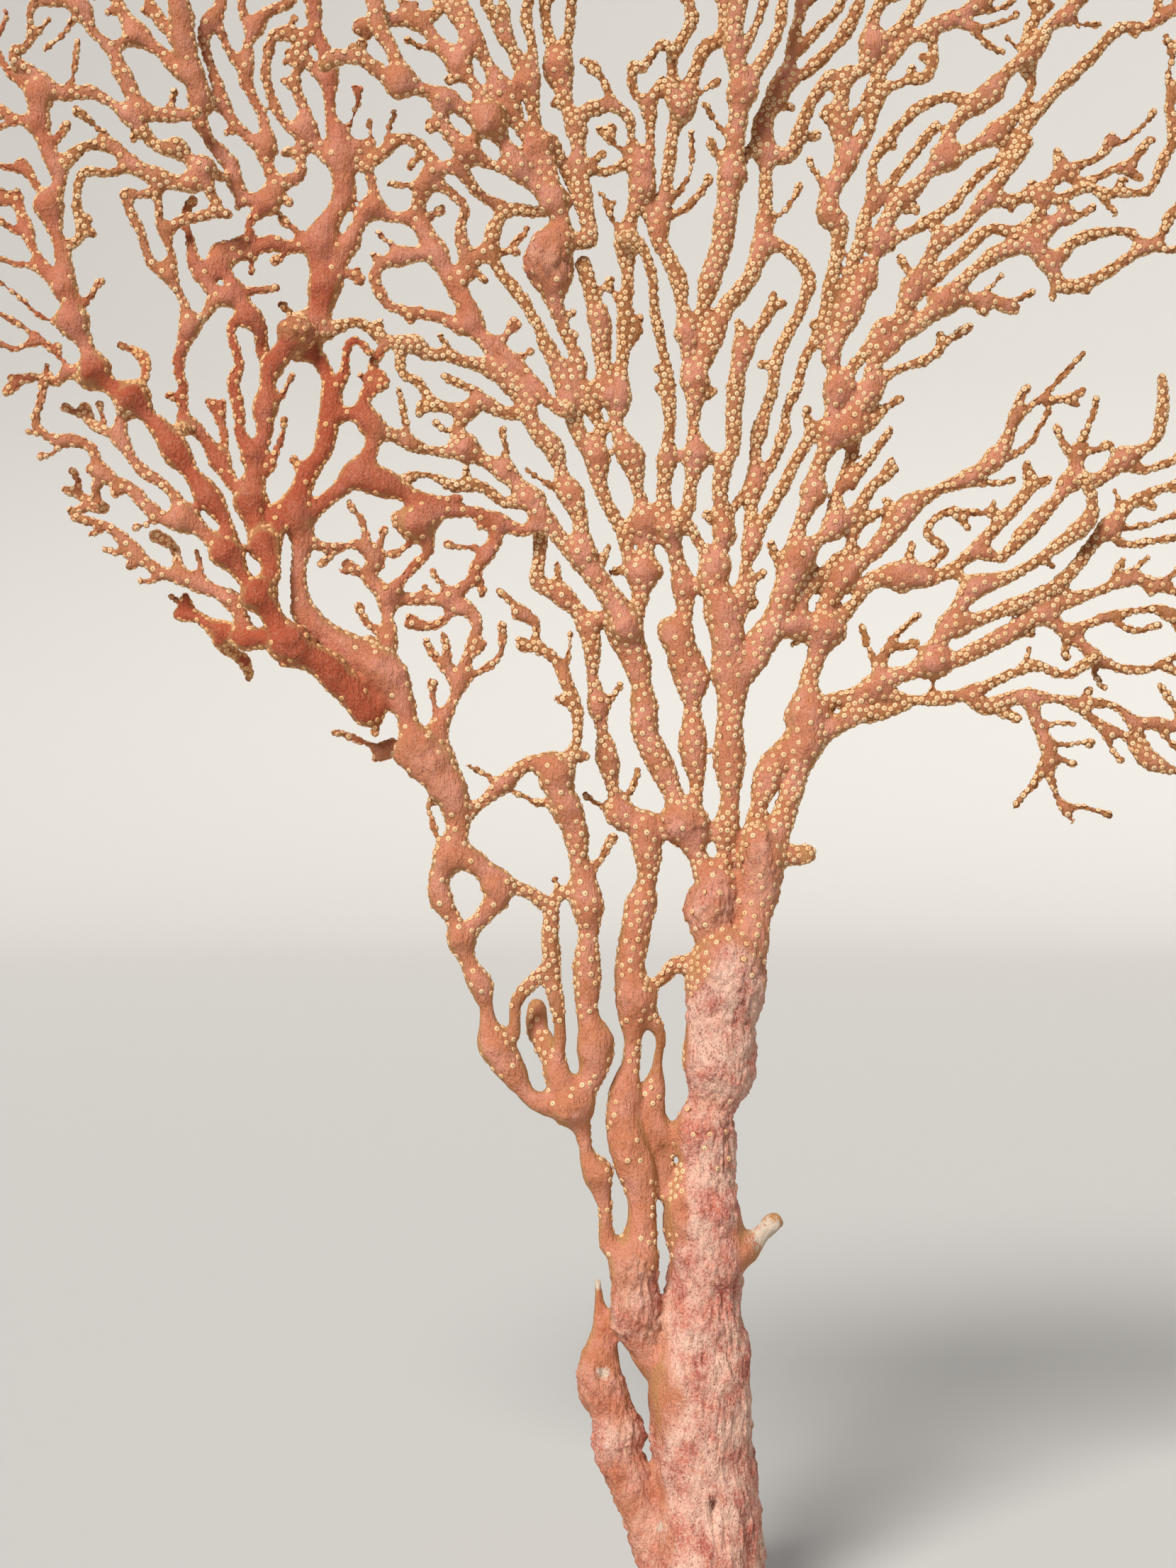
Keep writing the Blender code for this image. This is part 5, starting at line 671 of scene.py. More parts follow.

# Each piece of the skin: a slot name from the record, which nothing here reads, and the nodes that it stands
# for.
PIECES = {
    "trunk_skin": ("trunk_rind", ("trunk", "dead_stem")),
    "stem_skin": ("stem_rind", ("left_stem", "inner_left_stem", "middle_fork", "right_stem")),
    "left_limb_skin": ("limb_rind", (
        "left_limb", "left_upper_limb", "left_inner_branch", "left_centre_branch", "web_branch")),
    "red_limb_skin": ("red_rind", (
        "red_limb", "far_left_low_limb", "far_left_limb", "far_left_side_limb", "left_edge_limb",
        "low_red_branch", "red_fork_branch", "red_upper_branch", "tall_red_limb", "red_loop_branch",
        "crust_branch")),
    "left_crown_skin": ("twig_rind", (
        "left_ring_branch", "left_web", "upper_left_limb", "upper_left_web", "crown_left_stem",
        "crown_left_limb", "left_arch_branch", "side_red_branch")),
    "arch_skin": ("twig_rind", ("arching_branch", "second_arching_branch")),
    "knotted_skin": ("limb_rind", (
        "tall_left_branch", "knotted_branch", "knotted_upper_left", "knotted_web", "crown_middle_left",
        "crown_middle_branch", "crown_cluster_branch", "middle_tall_branch")),
    "middle_skin": ("limb_rind", (
        "middle_right_branch", "middle_crown_stem", "middle_great_branch", "middle_crown_branch",
        "front_tall_branch", "slender_right_branch")),
    "right_crown_skin": ("limb_rind", (
        "right_tall_branch", "right_crown_web", "right_crown_lattice", "crown_right_branch",
        "right_long_branch", "right_arch_branch", "right_hook_branch", "right_low_loop_branch")),
    "right_limb_skin": ("twig_rind", (
        "right_limb", "right_middle_limb", "lower_right_stem", "lower_right_limb", "lower_right_web")),
}
PIECE_OF = {node: piece for piece, (_, nodes) in PIECES.items() for node in nodes}

# How red each limb's skin is, from 0 on the ochre limbs to 1 on the reddest.
REDNESS = {
    "red_limb": 1, "far_left_limb": 0.95, "low_red_branch": 0.95, "red_fork_branch": 0.8,
    "red_upper_branch": 0.85, "tall_red_limb": 1, "red_loop_branch": 0.85, "crust_branch": 0.7,
    "far_left_side_limb": 0.55, "far_left_low_limb": 0.5, "left_edge_limb": 0.7, "left_limb": 0.35,
    "left_upper_limb": 0.6, "upper_left_limb": 0.75, "side_red_branch": 0.6, "crown_left_limb": 0.55,
    "crown_left_stem": 0.55, "upper_left_web": 0.45, "left_arch_branch": 0.35, "left_ring_branch": 0.4,
    "web_branch": 0.55, "left_inner_branch": 0.25, "left_stem": 0.4, "dead_stem": 0.6,
    "knotted_branch": 0.35, "knotted_upper_left": 0.3, "knotted_web": 0.35,
}
RED_ELSEWHERE = 0.12

# Bare chalky spots where the skin is worn or crusted: x, z and reach.
PALE_SPOTS = (
    (-23.4, 82, 2.6), (16.2, 94, 6.0), (-22.5, 61.5, 2.6), (-9, 26.5, 1.8),
    (15, 60, 3.2), (15.5, 42, 3), (16, 22, 3.5), (15.5, 32, 2.6),
)

# Small holes in the trunk and the dead stem: x, z, radius and depth.
HOLES = ((3.3, 33, 1.1, 3.2), (-22.8, 61.2, 1.8, 2.4), (-4, 100, 1.4, 2.8), (-8.6, 113, 1.3, 2.6))

# The crusted nub on the trunk's right side, as one more branch of the trunk.
NUB = (0, (9.5, 90.5, 8.0), (12.4, 91.6, 6.4), (15.0, 93.8, 4.6), (17.4, 96.0, 5.0))

# Areas of the fan's plane that stay open in it, or lie outside it: no side twig grows into them.
OPEN_AREAS = (
    ((-200, 337), (-170, 337), (-163, 292), (-155, 278), (-150, 268), (-146, 261), (-126, 243),
     (-107, 225), (-84, 210), (-69, 199), (-61, 186), (-66, 172), (-59, 148), (-46, 131), (-37, 122),
     (-28, 96), (-28, 0), (-200, 0)),
    ((25, 0), (12, 100), (14, 178), (24, 186), (29, 207), (57, 211), (76, 215), (74, 193), (83, 186),
     (97, 190), (98, 205), (112, 201), (135, 198), (135, 0)),
    ((46, 269), (46, 291), (64, 306), (76, 312), (94, 315), (112, 319), (135, 320), (135, 297),
     (112, 297), (103, 290), (90, 300), (76, 290), (66, 275), (53, 266)),
    ((-28, 0), (-60, 166), (12, 166), (25, 0)),
    ((-56, 190), (-52, 176), (-30, 178), (-28, 190)),
    ((-141, 330), (-132, 345), (-117, 338), (-121, 300), (-127, 281), (-137, 300)),
)

# How deep the skin's relief is, and how long its waves are.
BULGE_SHARE, BULGE_WAVE, BULGE_WIDEST = 0.15, 7.5, 7.0
LUMP_DEPTH, LUMP_WAVE = 0.40, 2.6
FLUTE_DEPTH, FLUTE_WIDTH, FLUTE_LENGTH = 0.8, 2.2, 6.0
GRAIN_DEPTH, GRAIN_WIDTH, GRAIN_LENGTH = 0.85, 0.9, 1.5
FLUTE_MIDDLE = 0.25

# Flutes and grains start on branches this wide, and are full on those OLD_SKIN_BLEND wider.
OLD_SKIN_WIDTH = 7.5
OLD_SKIN_BLEND = 3.0

# Above the flat cut the relief eases in over CUT_EASE. What faces down within FOOT_BAND of it is the cut.
CUT_EASE = 1.5
FOOT_BAND = 0.8
FACING_DOWN = -0.4

# The skin faces straight out of the fan's plane from this much of its normal along Y on, and fully when the
# second number is added.
FRONT_FROM, FRONT_RANGE = 0.50, 0.35

# A chalky spot is full in its middle and fades towards its reach. Paler than PALE_LIMIT there is no polyp.
PALE_GAIN = 1.4
PALE_LIMIT = 0.05

# How many samples of centre lines are tried for each point of the skin, how often its values are evened
# out, and the width that counts as a girth of 1.
NEAR_SAMPLES = 4
BLEND_PASSES = 14
FULL_GIRTH = 20


def nearest_place(x, z, placed):
    """How far the nearest branch placed so far is from (x, z), and its nearest point."""
    best = (1e9, 0, 0, 0)
    for line in placed:
        for (ax, ay, az, _), (bx, by, bz, _) in zip(line, line[1:]):
            run = (bx - ax) ** 2 + (bz - az) ** 2
            share = ((x - ax) * (bx - ax) + (z - az) * (bz - az)) / run if run else 0
            share = min(1, max(0, share))
            on_x = ax + share * (bx - ax)
            on_z = az + share * (bz - az)
            away = math.hypot(on_x - x, on_z - z)
            best = min(best, (away, on_x, ay + share * (by - ay), on_z))
    return best


def centre_line(tip_depth, points, placed):
    """The branch's points as (x, y, z, width), its depth easing from its root to its tip."""
    points = list(points)
    root = tip = 0
    if placed:
        away, x, root, z = nearest_place(*points[0][:2], placed)
        if LEAST_REACH < away < MOST_REACH:
            points.insert(0, (x, z, points[0][2]))
    if tip_depth is None:
        away, x, tip, z = nearest_place(*points[-1][:2], placed)
        if LEAST_REACH < away < MOST_REACH:
            points.append((x, z, points[-1][2]))
    else:
        tip = tip_depth
    walked = [0]
    for (ax, az, _), (bx, bz, _) in zip(points, points[1:]):
        walked.append(walked[-1] + math.hypot(bx - ax, bz - az))
    line = []
    for (x, z, width), so_far in zip(points, walked):
        share = so_far / walked[-1]
        ease = share * share * (3 - 2 * share)
        line.append((x, root + (tip - root) * ease, z, width))
    return line


def all_lines():
    """Every branch's centre line, with the node that it belongs to."""
    placed = []
    owners = []
    for name, rows in BRANCHES.items():
        for tip_depth, *points in rows:
            placed.append(centre_line(tip_depth, points, placed))
            owners.append(name)
    return placed, owners


def smoothed(line):
    """The line as closely spaced points on a curve through its own points."""
    points = np.array(line, float)
    ends = np.vstack([2 * points[0] - points[1], points, 2 * points[-1] - points[-2]])
    out = []
    for a, b, c, d in zip(ends, ends[1:], ends[2:], ends[3:]):
        count = max(1, round(math.dist(b[:3], c[:3]) / RING_STEP))
        for share in np.arange(count) / count:
            curve = 0.5 * (
                2 * b
                + (c - a) * share
                + (2 * a - 5 * b + 4 * c - d) * share**2
                + (3 * b - a - 3 * c + d) * share**3
            )
            curve[3] = max(curve[3], NECK_SHARE * min(b[3], c[3]))
            out.append(curve)
    out.append(points[-1])
    return np.array(out)


def tube(curve, blunt_root):
    """Rings round the curve with a round tip, as points and faces: quads and two caps."""
    widest = curve[:, 3].max()
    sides = next(count for least, count in TUBE_SIDES if widest > least)
    heads = [(centre, 1.0) for centre in curve]
    along_tip = curve[-1][:3] - curve[-2][:3]
    along_tip = along_tip / np.linalg.norm(along_tip)
    tip_radius = curve[-1][3] / 2
    for forward, share in TIP_RINGS:
        centre = curve[-1].copy()
        centre[:3] = centre[:3] + along_tip * forward * tip_radius
        heads.append((centre, share))
    points = []
    faces = []
    for index, (centre, share) in enumerate(heads):
        before = heads[max(index - 1, 0)][0][:3]
        after = heads[min(index + 1, len(heads) - 1)][0][:3]
        along = Vector(after - before).normalized()
        if blunt_root and index == 0:
            along = Vector((0, 0, 1))
        across = along.cross(Vector((0, -1, 0))).normalized()
        out = across.cross(along).normalized()
        stout = min(1, max(0, (float(centre[3]) - THIN_LIMIT) / (STOUT_LIMIT - THIN_LIMIT)))
        radius = (float(centre[3]) / 2 + SKIN_GROWTH + STOUT_GROWTH * stout) * share
        for side in range(sides):
            angle = 2 * math.pi * side / sides
            spoke = math.cos(angle) * across + math.sin(angle) * out
            points.append(Vector(centre[:3]) + radius * spoke)
    for ring in range(len(heads) - 1):
        low = ring * sides
        for side in range(sides):
            other = (side + 1) % sides
            faces.append((low + side, low + other, low + sides + other, low + sides + side))
    faces.append(tuple(reversed(range(sides))))
    faces.append(tuple(range(len(points) - sides, len(points))))
    return points, faces


class OpenRoom:
    """Knows which places in the fan's plane are already taken by a branch."""

    def __init__(self, curves):
        self.cells = {}
        for curve in curves:
            self.fill(curve)

    def cell(self, x, z):
        return int(x // ROOM_CELL), int(z // ROOM_CELL)

    def fill(self, curve):
        for x, _, z, width in np.asarray(curve).tolist():
            self.cells.setdefault(self.cell(x, z), []).append((x, z, width / 2))

    def is_free(self, x, z, reach, root, root_reach):
        """True where nothing but the twig's own root lies within reach."""
        column, row = self.cell(x, z)
        for i in (column - 1, column, column + 1):
            for j in (row - 1, row, row + 1):
                for other_x, other_z, radius in self.cells.get((i, j), ()):
                    if math.hypot(other_x - root[0], other_z - root[1]) < root_reach:
                        continue
                    if math.hypot(other_x - x, other_z - z) < reach + radius:
                        return False
        return True


def inside(x, z, outline):
    """True where the point lies inside the outline: a ray from it crosses an odd number of sides."""
    odd = False
    for (ax, az), (bx, bz) in zip(outline, outline[1:] + outline[:1]):
        if (az > z) != (bz > z) and x < ax + (z - az) * (bx - ax) / (bz - az):
            odd = not odd
    return odd


def may_grow(x, z):
    low, high = CAD_BOX
    if not (low[0] / MM + EDGE < x < high[0] / MM - EDGE and z < high[2] / MM - EDGE):
        return False
    return not any(inside(x, z, outline) for outline in OPEN_AREAS)


def side_twig(curve, index, side, longest, room, chance):
    """A twig that leaves the curve at that point and bends to run outwards, as far as there is room."""
    root = Vector(curve[index][:3])
    parent_radius = float(curve[index][3] / 2)
    along = Vector(curve[index + 1][:3] - curve[index - 1][:3]).normalized()
    across = Vector((along.z, 0, -along.x)) * side
    heading = (across + along * chance.uniform(*TWIG_START_LEAN)).normalized()
    lean = chance.uniform(-TWIG_LEAN, TWIG_LEAN)
    width = chance.uniform(*TWIG_WIDTH)
    outward = Vector((root.x - GROWTH_CENTRE[0], 0, root.z - GROWTH_CENTRE[1])).normalized()
    goal = (along * ALONG_SHARE + outward * OUTWARD_SHARE).normalized()
    place = root + heading * (parent_radius * TWIG_START)
    root_swell, next_swell = TWIG_ROOT_SWELL
    path = [(*root, min(2 * parent_radius, width * root_swell)), (*place, width * next_swell)]
    walked = 0.0
    while walked < longest:
        wobble = Vector((chance.uniform(-1, 1), 0, chance.uniform(-1, 1)))
        heading = (heading + goal * TWIG_PULL + wobble * TWIG_SHAKE).normalized()
        step = heading * TWIG_STEP
        step.y = lean * TWIG_STEP
        place = place + step
        walked += TWIG_STEP
        reach = width / 2 + TWIG_CLEARANCE
        root_reach = parent_radius + TWIG_ROOT_ROOM
        free = room.is_free(place.x, place.z, reach, (root.x, root.z), root_reach)
        if walked > parent_radius and not free:
            break
        if not may_grow(place.x, place.z):
            break
        path.append((*place, width * chance.uniform(*TWIG_WIDTH_CHANGE)))
    clear = walked - parent_radius * TWIG_START
    if len(path) < LEAST_TWIG_POINTS or clear < SHORTEST_TWIG:
        return None
    path[-1] = (*path[-1][:3], width * chance.uniform(*KNOB_SHARE))
    return smoothed(path)


def grow_side_twigs(curves, owners):
    """Short twigs and forked ones wherever the fan's plane has room, each with a knob at its tip."""
    chance = random.Random(SEED)
    room = OpenRoom(curves)
    grown = []
    parents = [(curve, owner) for curve, owner in zip(curves, owners) if owner not in BARE_NODES]
    for rate, longest in TWIG_ROUNDS:
        sprouts = []
        for curve, owner in parents:
            for index in range(2, len(curve) - 2):
                width = curve[index][3]
                thin = 1.0 if width < THIN_BRANCH else STOUT_SHARE
                if chance.random() > rate * thin * RING_STEP:
                    continue
                side = chance.choice((-1, 1))
                reach = chance.uniform(*longest)
                twig = side_twig(curve, index, side, reach, room, chance)
                if twig is not None:
                    room.fill(twig)
                    sprouts.append((twig, owner))
        grown.extend(sprouts)
        parents = parents + sprouts
    return grown


def mesh_object(name, points, faces):
    mesh = bpy.data.meshes.new(name)
    mesh.from_pydata(points, [], faces)
    made = bpy.data.objects.new(name, mesh)
    bpy.context.scene.collection.objects.link(made)
    return made


def evaluated_copy(source):
    """The mesh of an object with its modifiers applied. The object is used up."""
    graph = bpy.context.evaluated_depsgraph_get()
    mesh = bpy.data.meshes.new_from_object(source.evaluated_get(graph))
    bpy.data.objects.remove(source, do_unlink=True)
    return mesh


def fused_skin(curves, owners):
    """All the branches as one smooth closed mesh, in metres."""
    points = []
    faces = []
    for curve, owner in zip(curves, owners):
        start = len(points)
        ring_points, ring_faces = tube(curve, blunt_root=curve[0][2] == 0)
        points.extend(point * MM for point in ring_points)
        faces.extend(tuple(start + corner for corner in face) for face in ring_faces)
    whole = mesh_object("whole", points, faces)
    remesh = whole.modifiers.new("fuse", "REMESH")
    remesh.mode = "VOXEL"
    remesh.voxel_size = VOXEL * MM
    smooth = whole.modifiers.new("round", "SMOOTH")
    smooth.factor = SMOOTH_FACTOR
    smooth.iterations = SMOOTH_PASSES
    thin = whole.modifiers.new("thin", "DECIMATE")
    thin.ratio = SKIN_KEPT
    return evaluated_copy(whole)


def coordinates(mesh):
    flat = np.empty(len(mesh.vertices) * 3, np.float32)
    mesh.vertices.foreach_get("co", flat)
    return flat.reshape(-1, 3).astype(float)


def vertex_normals(mesh):
    flat = np.empty(len(mesh.vertices) * 3, np.float32)
    mesh.vertex_normals.foreach_get("vector", flat)
    return flat.reshape(-1, 3).astype(float)


class Guide:
    """Finds the branch under any point of the skin: its width, its node, and where along it the point is."""

    def __init__(self, curves, owners):
        samples = [(point, owner) for curve, owner in zip(curves, owners) for point in curve]
        self.widths = np.array([point[3] for point, _ in samples])
        self.nodes = [owner for _, owner in samples]
        self.tree = kdtree.KDTree(len(samples))
        for index, (point, _) in enumerate(samples):
            self.tree.insert(point[:3], index)
        self.tree.balance()
        self.tips = np.zeros(len(samples))
        end = 0
        for curve in curves:
            start, end = end, end + len(curve)
            near = self.tree.find_range(curve[-1][:3], TIP_REACH)
            if all(start <= index < end for _, index, _ in near):
                for _, index, away in near:
                    self.tips[index] = 1 - away / TIP_REACH
        self.knots = np.zeros(len(samples))
        for curve in curves:
            if len(curve) * RING_STEP > KNOT_BRANCH:
                for _, index, away in self.tree.find_range(curve[0][:3], KNOT_REACH):
                    self.knots[index] = max(self.knots[index], 1 - away / KNOT_REACH)

    def at(self, place):
        """The index of the best sample: of the near ones, the one whose surface the place lies closest to."""
        near = self.tree.find_n(place, NEAR_SAMPLES)
        return min(near, key=lambda hit: abs(hit[2] - self.widths[hit[1]] / 2))[1]


def refine_old_skin(mesh, guide):
    """Halves every edge on the thick stems, whose skin carries a finer relief than the rest."""
    work = bmesh.new()
    work.from_mesh(mesh)
    old = {vertex for vertex in work.verts if guide.widths[guide.at(vertex.co / MM)] > OLD_SKIN_WIDTH}
    edges = [edge for edge in work.edges if edge.verts[0] in old or edge.verts[1] in old]
    bmesh.ops.subdivide_edges(work, edges=edges, cuts=1, use_grid_fill=True)
    bmesh.ops.triangulate(work, faces=work.faces)
    work.to_mesh(mesh)
    work.free()


def relieve(mesh, guide):
    """Moves the skin in and out: broad bulges, small lumps, and flutes and grains on the old skin."""
    places = coordinates(mesh) / MM
    normals = vertex_normals(mesh)
    marks = np.array([guide.at(place) for place in places])
    widths = guide.widths[marks]
    shifts = np.empty(len(places))
    for index, (place, width) in enumerate(zip(places, widths)):
        spot = Vector(place)
        bulge = noise.noise(spot / BULGE_WAVE) * BULGE_SHARE * min(width, BULGE_WIDEST)
        lump = noise.noise(spot / LUMP_WAVE) * LUMP_DEPTH
        old = min(1, max(0, (width - OLD_SKIN_WIDTH) / OLD_SKIN_BLEND))
        fluted = Vector((spot.x / FLUTE_WIDTH, spot.y / FLUTE_WIDTH, spot.z / FLUTE_LENGTH))
        flute = (FLUTE_MIDDLE - abs(noise.noise(fluted))) * FLUTE_DEPTH * old
        grained = Vector((spot.x / GRAIN_WIDTH, spot.y / GRAIN_WIDTH, spot.z / GRAIN_LENGTH))
        grain = noise.noise(grained) * GRAIN_DEPTH * old
        shifts[index] = bulge + lump + flute + grain
    front = normals[:, 1] < 0
    for x, z, radius, depth in HOLES:
        away = np.hypot(places[:, 0] - x, places[:, 2] - z)
        shifts -= np.where(front, depth * np.exp(-((away / radius) ** 2)), 0)
    above_cut = np.clip(places[:, 2] / CUT_EASE, 0, 1)
    moved = places + normals * (shifts * above_cut)[:, None]
    under = (places[:, 2] < FOOT_BAND) & (normals[:, 2] < FACING_DOWN)
    moved[:, 2] = np.where(under, 0, np.maximum(moved[:, 2], 0))
    mesh.vertices.foreach_set("co", (moved * MM).astype(np.float32).ravel())
    mesh.update()
    return marks


def add_value(mesh, name, values):
    layer = mesh.attributes.new(name, "FLOAT", "POINT")
    layer.data.foreach_set("value", np.asarray(values, np.float32))


def redness_at(nodes):
    return np.array([REDNESS.get(node, RED_ELSEWHERE) for node in nodes])


def paleness_at(places):
    """1 at the middle of a bare chalky spot, 0 outside all of them."""
    pale = np.zeros(len(places))
    for x, z, reach in PALE_SPOTS:
        away = np.hypot(places[:, 0] - x, places[:, 2] - z)
        pale = np.maximum(pale, np.clip(PALE_GAIN * (1 - away / reach), 0, 1))
    return pale


def blended(mesh, numbers):
    """The vertices' numbers, each evened out a little with its neighbours' over and over."""
    ends = np.empty(len(mesh.edges) * 2, np.int32)
    mesh.edges.foreach_get("vertices", ends)
    one, two = ends.reshape(-1, 2).T
    count = np.bincount(ends, minlength=len(numbers)) + 1
    for _ in range(BLEND_PASSES):
        total = numbers + np.bincount(one, numbers[two], len(numbers))
        total = total + np.bincount(two, numbers[one], len(numbers))
        numbers = total / count
    return numbers


def front_share(normals):
    """1 where the skin faces straight out of the fan's plane, in front or behind, and 0 at its sides."""
    return np.clip((np.abs(normals[:, 1]) - FRONT_FROM) / FRONT_RANGE, 0, 1)


def part_skin(whole, guide, marks):
    """Cuts the skin into the named pieces along their forks, and closes each cut."""
    piece_names = list(PIECES)
    piece_index = np.array([piece_names.index(PIECE_OF[node]) for node in guide.nodes])
    vertex_piece = piece_index[marks]
    places = coordinates(whole)
    values = {
        "girth": blended(whole, np.clip(guide.widths[marks] / FULL_GIRTH, 0, 1)),
        "redness": blended(whole, redness_at([guide.nodes[mark] for mark in marks])),
        "pale": paleness_at(places / MM),
        "knot": blended(whole, guide.knots[marks]),
        "front": front_share(vertex_normals(whole)) * (1 - guide.tips[marks]),
    }
    corners = np.empty(len(whole.loops), np.int32)
    whole.loops.foreach_get("vertex_index", corners)
    starts = np.empty(len(whole.polygons), np.int32)
    whole.polygons.foreach_get("loop_start", starts)
    totals = np.empty(len(whole.polygons), np.int32)
    whole.polygons.foreach_get("loop_total", totals)
    face_piece = vertex_piece[corners[starts]]
    made = {}
    for index, name in enumerate(piece_names):
        picked = np.nonzero(face_piece == index)[0]
        faces = [corners[starts[face]: starts[face] + totals[face]] for face in picked]
        used, order = np.unique(np.concatenate(faces), return_inverse=True)
        sizes = np.cumsum([len(face) for face in faces])[:-1]
        local = np.split(order, sizes)
        piece = mesh_object(name, places[used].tolist(), [tuple(face.tolist()) for face in local])
        for value, numbers in values.items():
            add_value(piece.data, value, numbers[used])
        close_cuts(piece.data)
        made[name] = piece
    return made


def close_cuts(mesh):
    """Turns each edge that parting leaves inwards and fills it there, so that no fill shows in the skin."""
    work = bmesh.new()
    work.from_mesh(mesh)
    work.normal_update()
    inwards = {}
    open_edges = [edge for edge in work.edges if edge.is_boundary]
    for edge in open_edges:
        for vertex in edge.verts:
            inwards[tuple(vertex.co)] = -vertex.normal
    turned = bmesh.ops.extrude_edge_only(work, edges=open_edges)["geom"]
    for vertex in turned:
        if isinstance(vertex, bmesh.types.BMVert):
            vertex.co += inwards[tuple(vertex.co)] * CUT_DEPTH * MM
    inner = [edge for edge in turned if isinstance(edge, bmesh.types.BMEdge) and edge.is_boundary]
    filled = bmesh.ops.holes_fill(work, edges=inner, sides=0)["faces"]
    bmesh.ops.triangulate(work, faces=filled)
    for edge in open_edges:
        edge.smooth = False
    for face in work.faces:
        face.smooth = True
    bmesh.ops.recalc_face_normals(work, faces=work.faces)
    work.to_mesh(mesh)
    work.free()


def polyp_sites(whole, guide, marks):
    """Points spread over the skin no closer than the branch under them allows, with their normals."""
    whole.calc_loop_triangles()
    corners = np.empty(len(whole.loop_triangles) * 3, np.int32)
    whole.loop_triangles.foreach_get("vertices", corners)
    corners = corners.reshape(-1, 3)
    places = coordinates(whole) / MM
    normals = vertex_normals(whole)
    widths = guide.widths[marks]
    spacing = np.full(len(places), NO_POLYP)
    for most, apart in reversed(POLYP_SPACING):
        spacing = np.where(widths <= most, apart, spacing)
    patches = np.array([noise.noise(Vector(place) / PATCH_WAVE) for place in places])
    patchy = spacing * (1 + PATCH_SPACING * np.clip(patches, 0, 1))
    spacing = np.where(widths > PATCHY_WIDTH, patchy, spacing)
    spacing = spacing * (1 + KNOT_SPACING * guide.knots[marks] * front_share(normals))
    redness = redness_at([guide.nodes[mark] for mark in marks])
    front = front_share(normals) * (1 - guide.tips[marks])
    stout = np.clip((widths - THINNEST_RED) / RED_WIDTH_RANGE, LEAST_RED_SHARE, 1)
    red = np.clip(redness * RED_GAIN - RED_START, 0, 1) * stout
    spacing = spacing * (1 + front * (FRONT_SPACING + RED_FRONT_SPACING * red))
    bare_spot = (places[:, 2] < LOWEST_POLYP) | (paleness_at(places) > PALE_LIMIT)
    low_trunk = (places[:, 2] < SPARSE_BELOW) & (patches < SPARSE_PATCH)
    spacing = np.where(bare_spot | low_trunk, NO_POLYP, spacing)
    triangle = places[corners]
    two_sides = np.cross(triangle[:, 1] - triangle[:, 0], triangle[:, 2] - triangle[:, 0])
    area = np.linalg.norm(two_sides, axis=1) / 2
    apart = spacing[corners].mean(axis=1)
    weight = np.where(apart < BARE_FROM, area / apart**2, 0)
    dice = np.random.default_rng(SEED)
    count = int(weight.sum() * CROWDING)
    chosen = dice.choice(len(weight), count, p=weight / weight.sum())
    shares = dice.dirichlet((1, 1, 1), count)
    sites = np.einsum("ij,ijk->ik", shares, triangle[chosen])
    site_normals = np.einsum("ij,ijk->ik", shares, normals[corners[chosen]])
    return thin_out(sites, site_normals, apart[chosen], corners[chosen][:, 0])


def thin_out(sites, site_normals, spacings, nearest):
    """Keeps each site in turn only where no kept one stands closer than its own spacing."""
    cell = max(apart for _, apart in POLYP_SPACING) * GRID_ROOM
    grid = {}
    kept = []
    for index, (place, least) in enumerate(zip(sites.tolist(), spacings.tolist())):
        x, y, z = place
        home = (int(x // cell), int(y // cell), int(z // cell))
        least_squared = least * least
        if any(
            (x - ox) ** 2 + (y - oy) ** 2 + (z - oz) ** 2 < least_squared
            for i in (home[0] - 1, home[0], home[0] + 1)
            for j in (home[1] - 1, home[1], home[1] + 1)
            for k in (home[2] - 1, home[2], home[2] + 1)
            for ox, oy, oz in grid.get((i, j, k), ())
        ):
            continue
        grid.setdefault(home, []).append(place)
        kept.append(index)
    lengths = np.linalg.norm(site_normals[kept], axis=1, keepdims=True)
    return sites[kept], site_normals[kept] / lengths, nearest[kept]


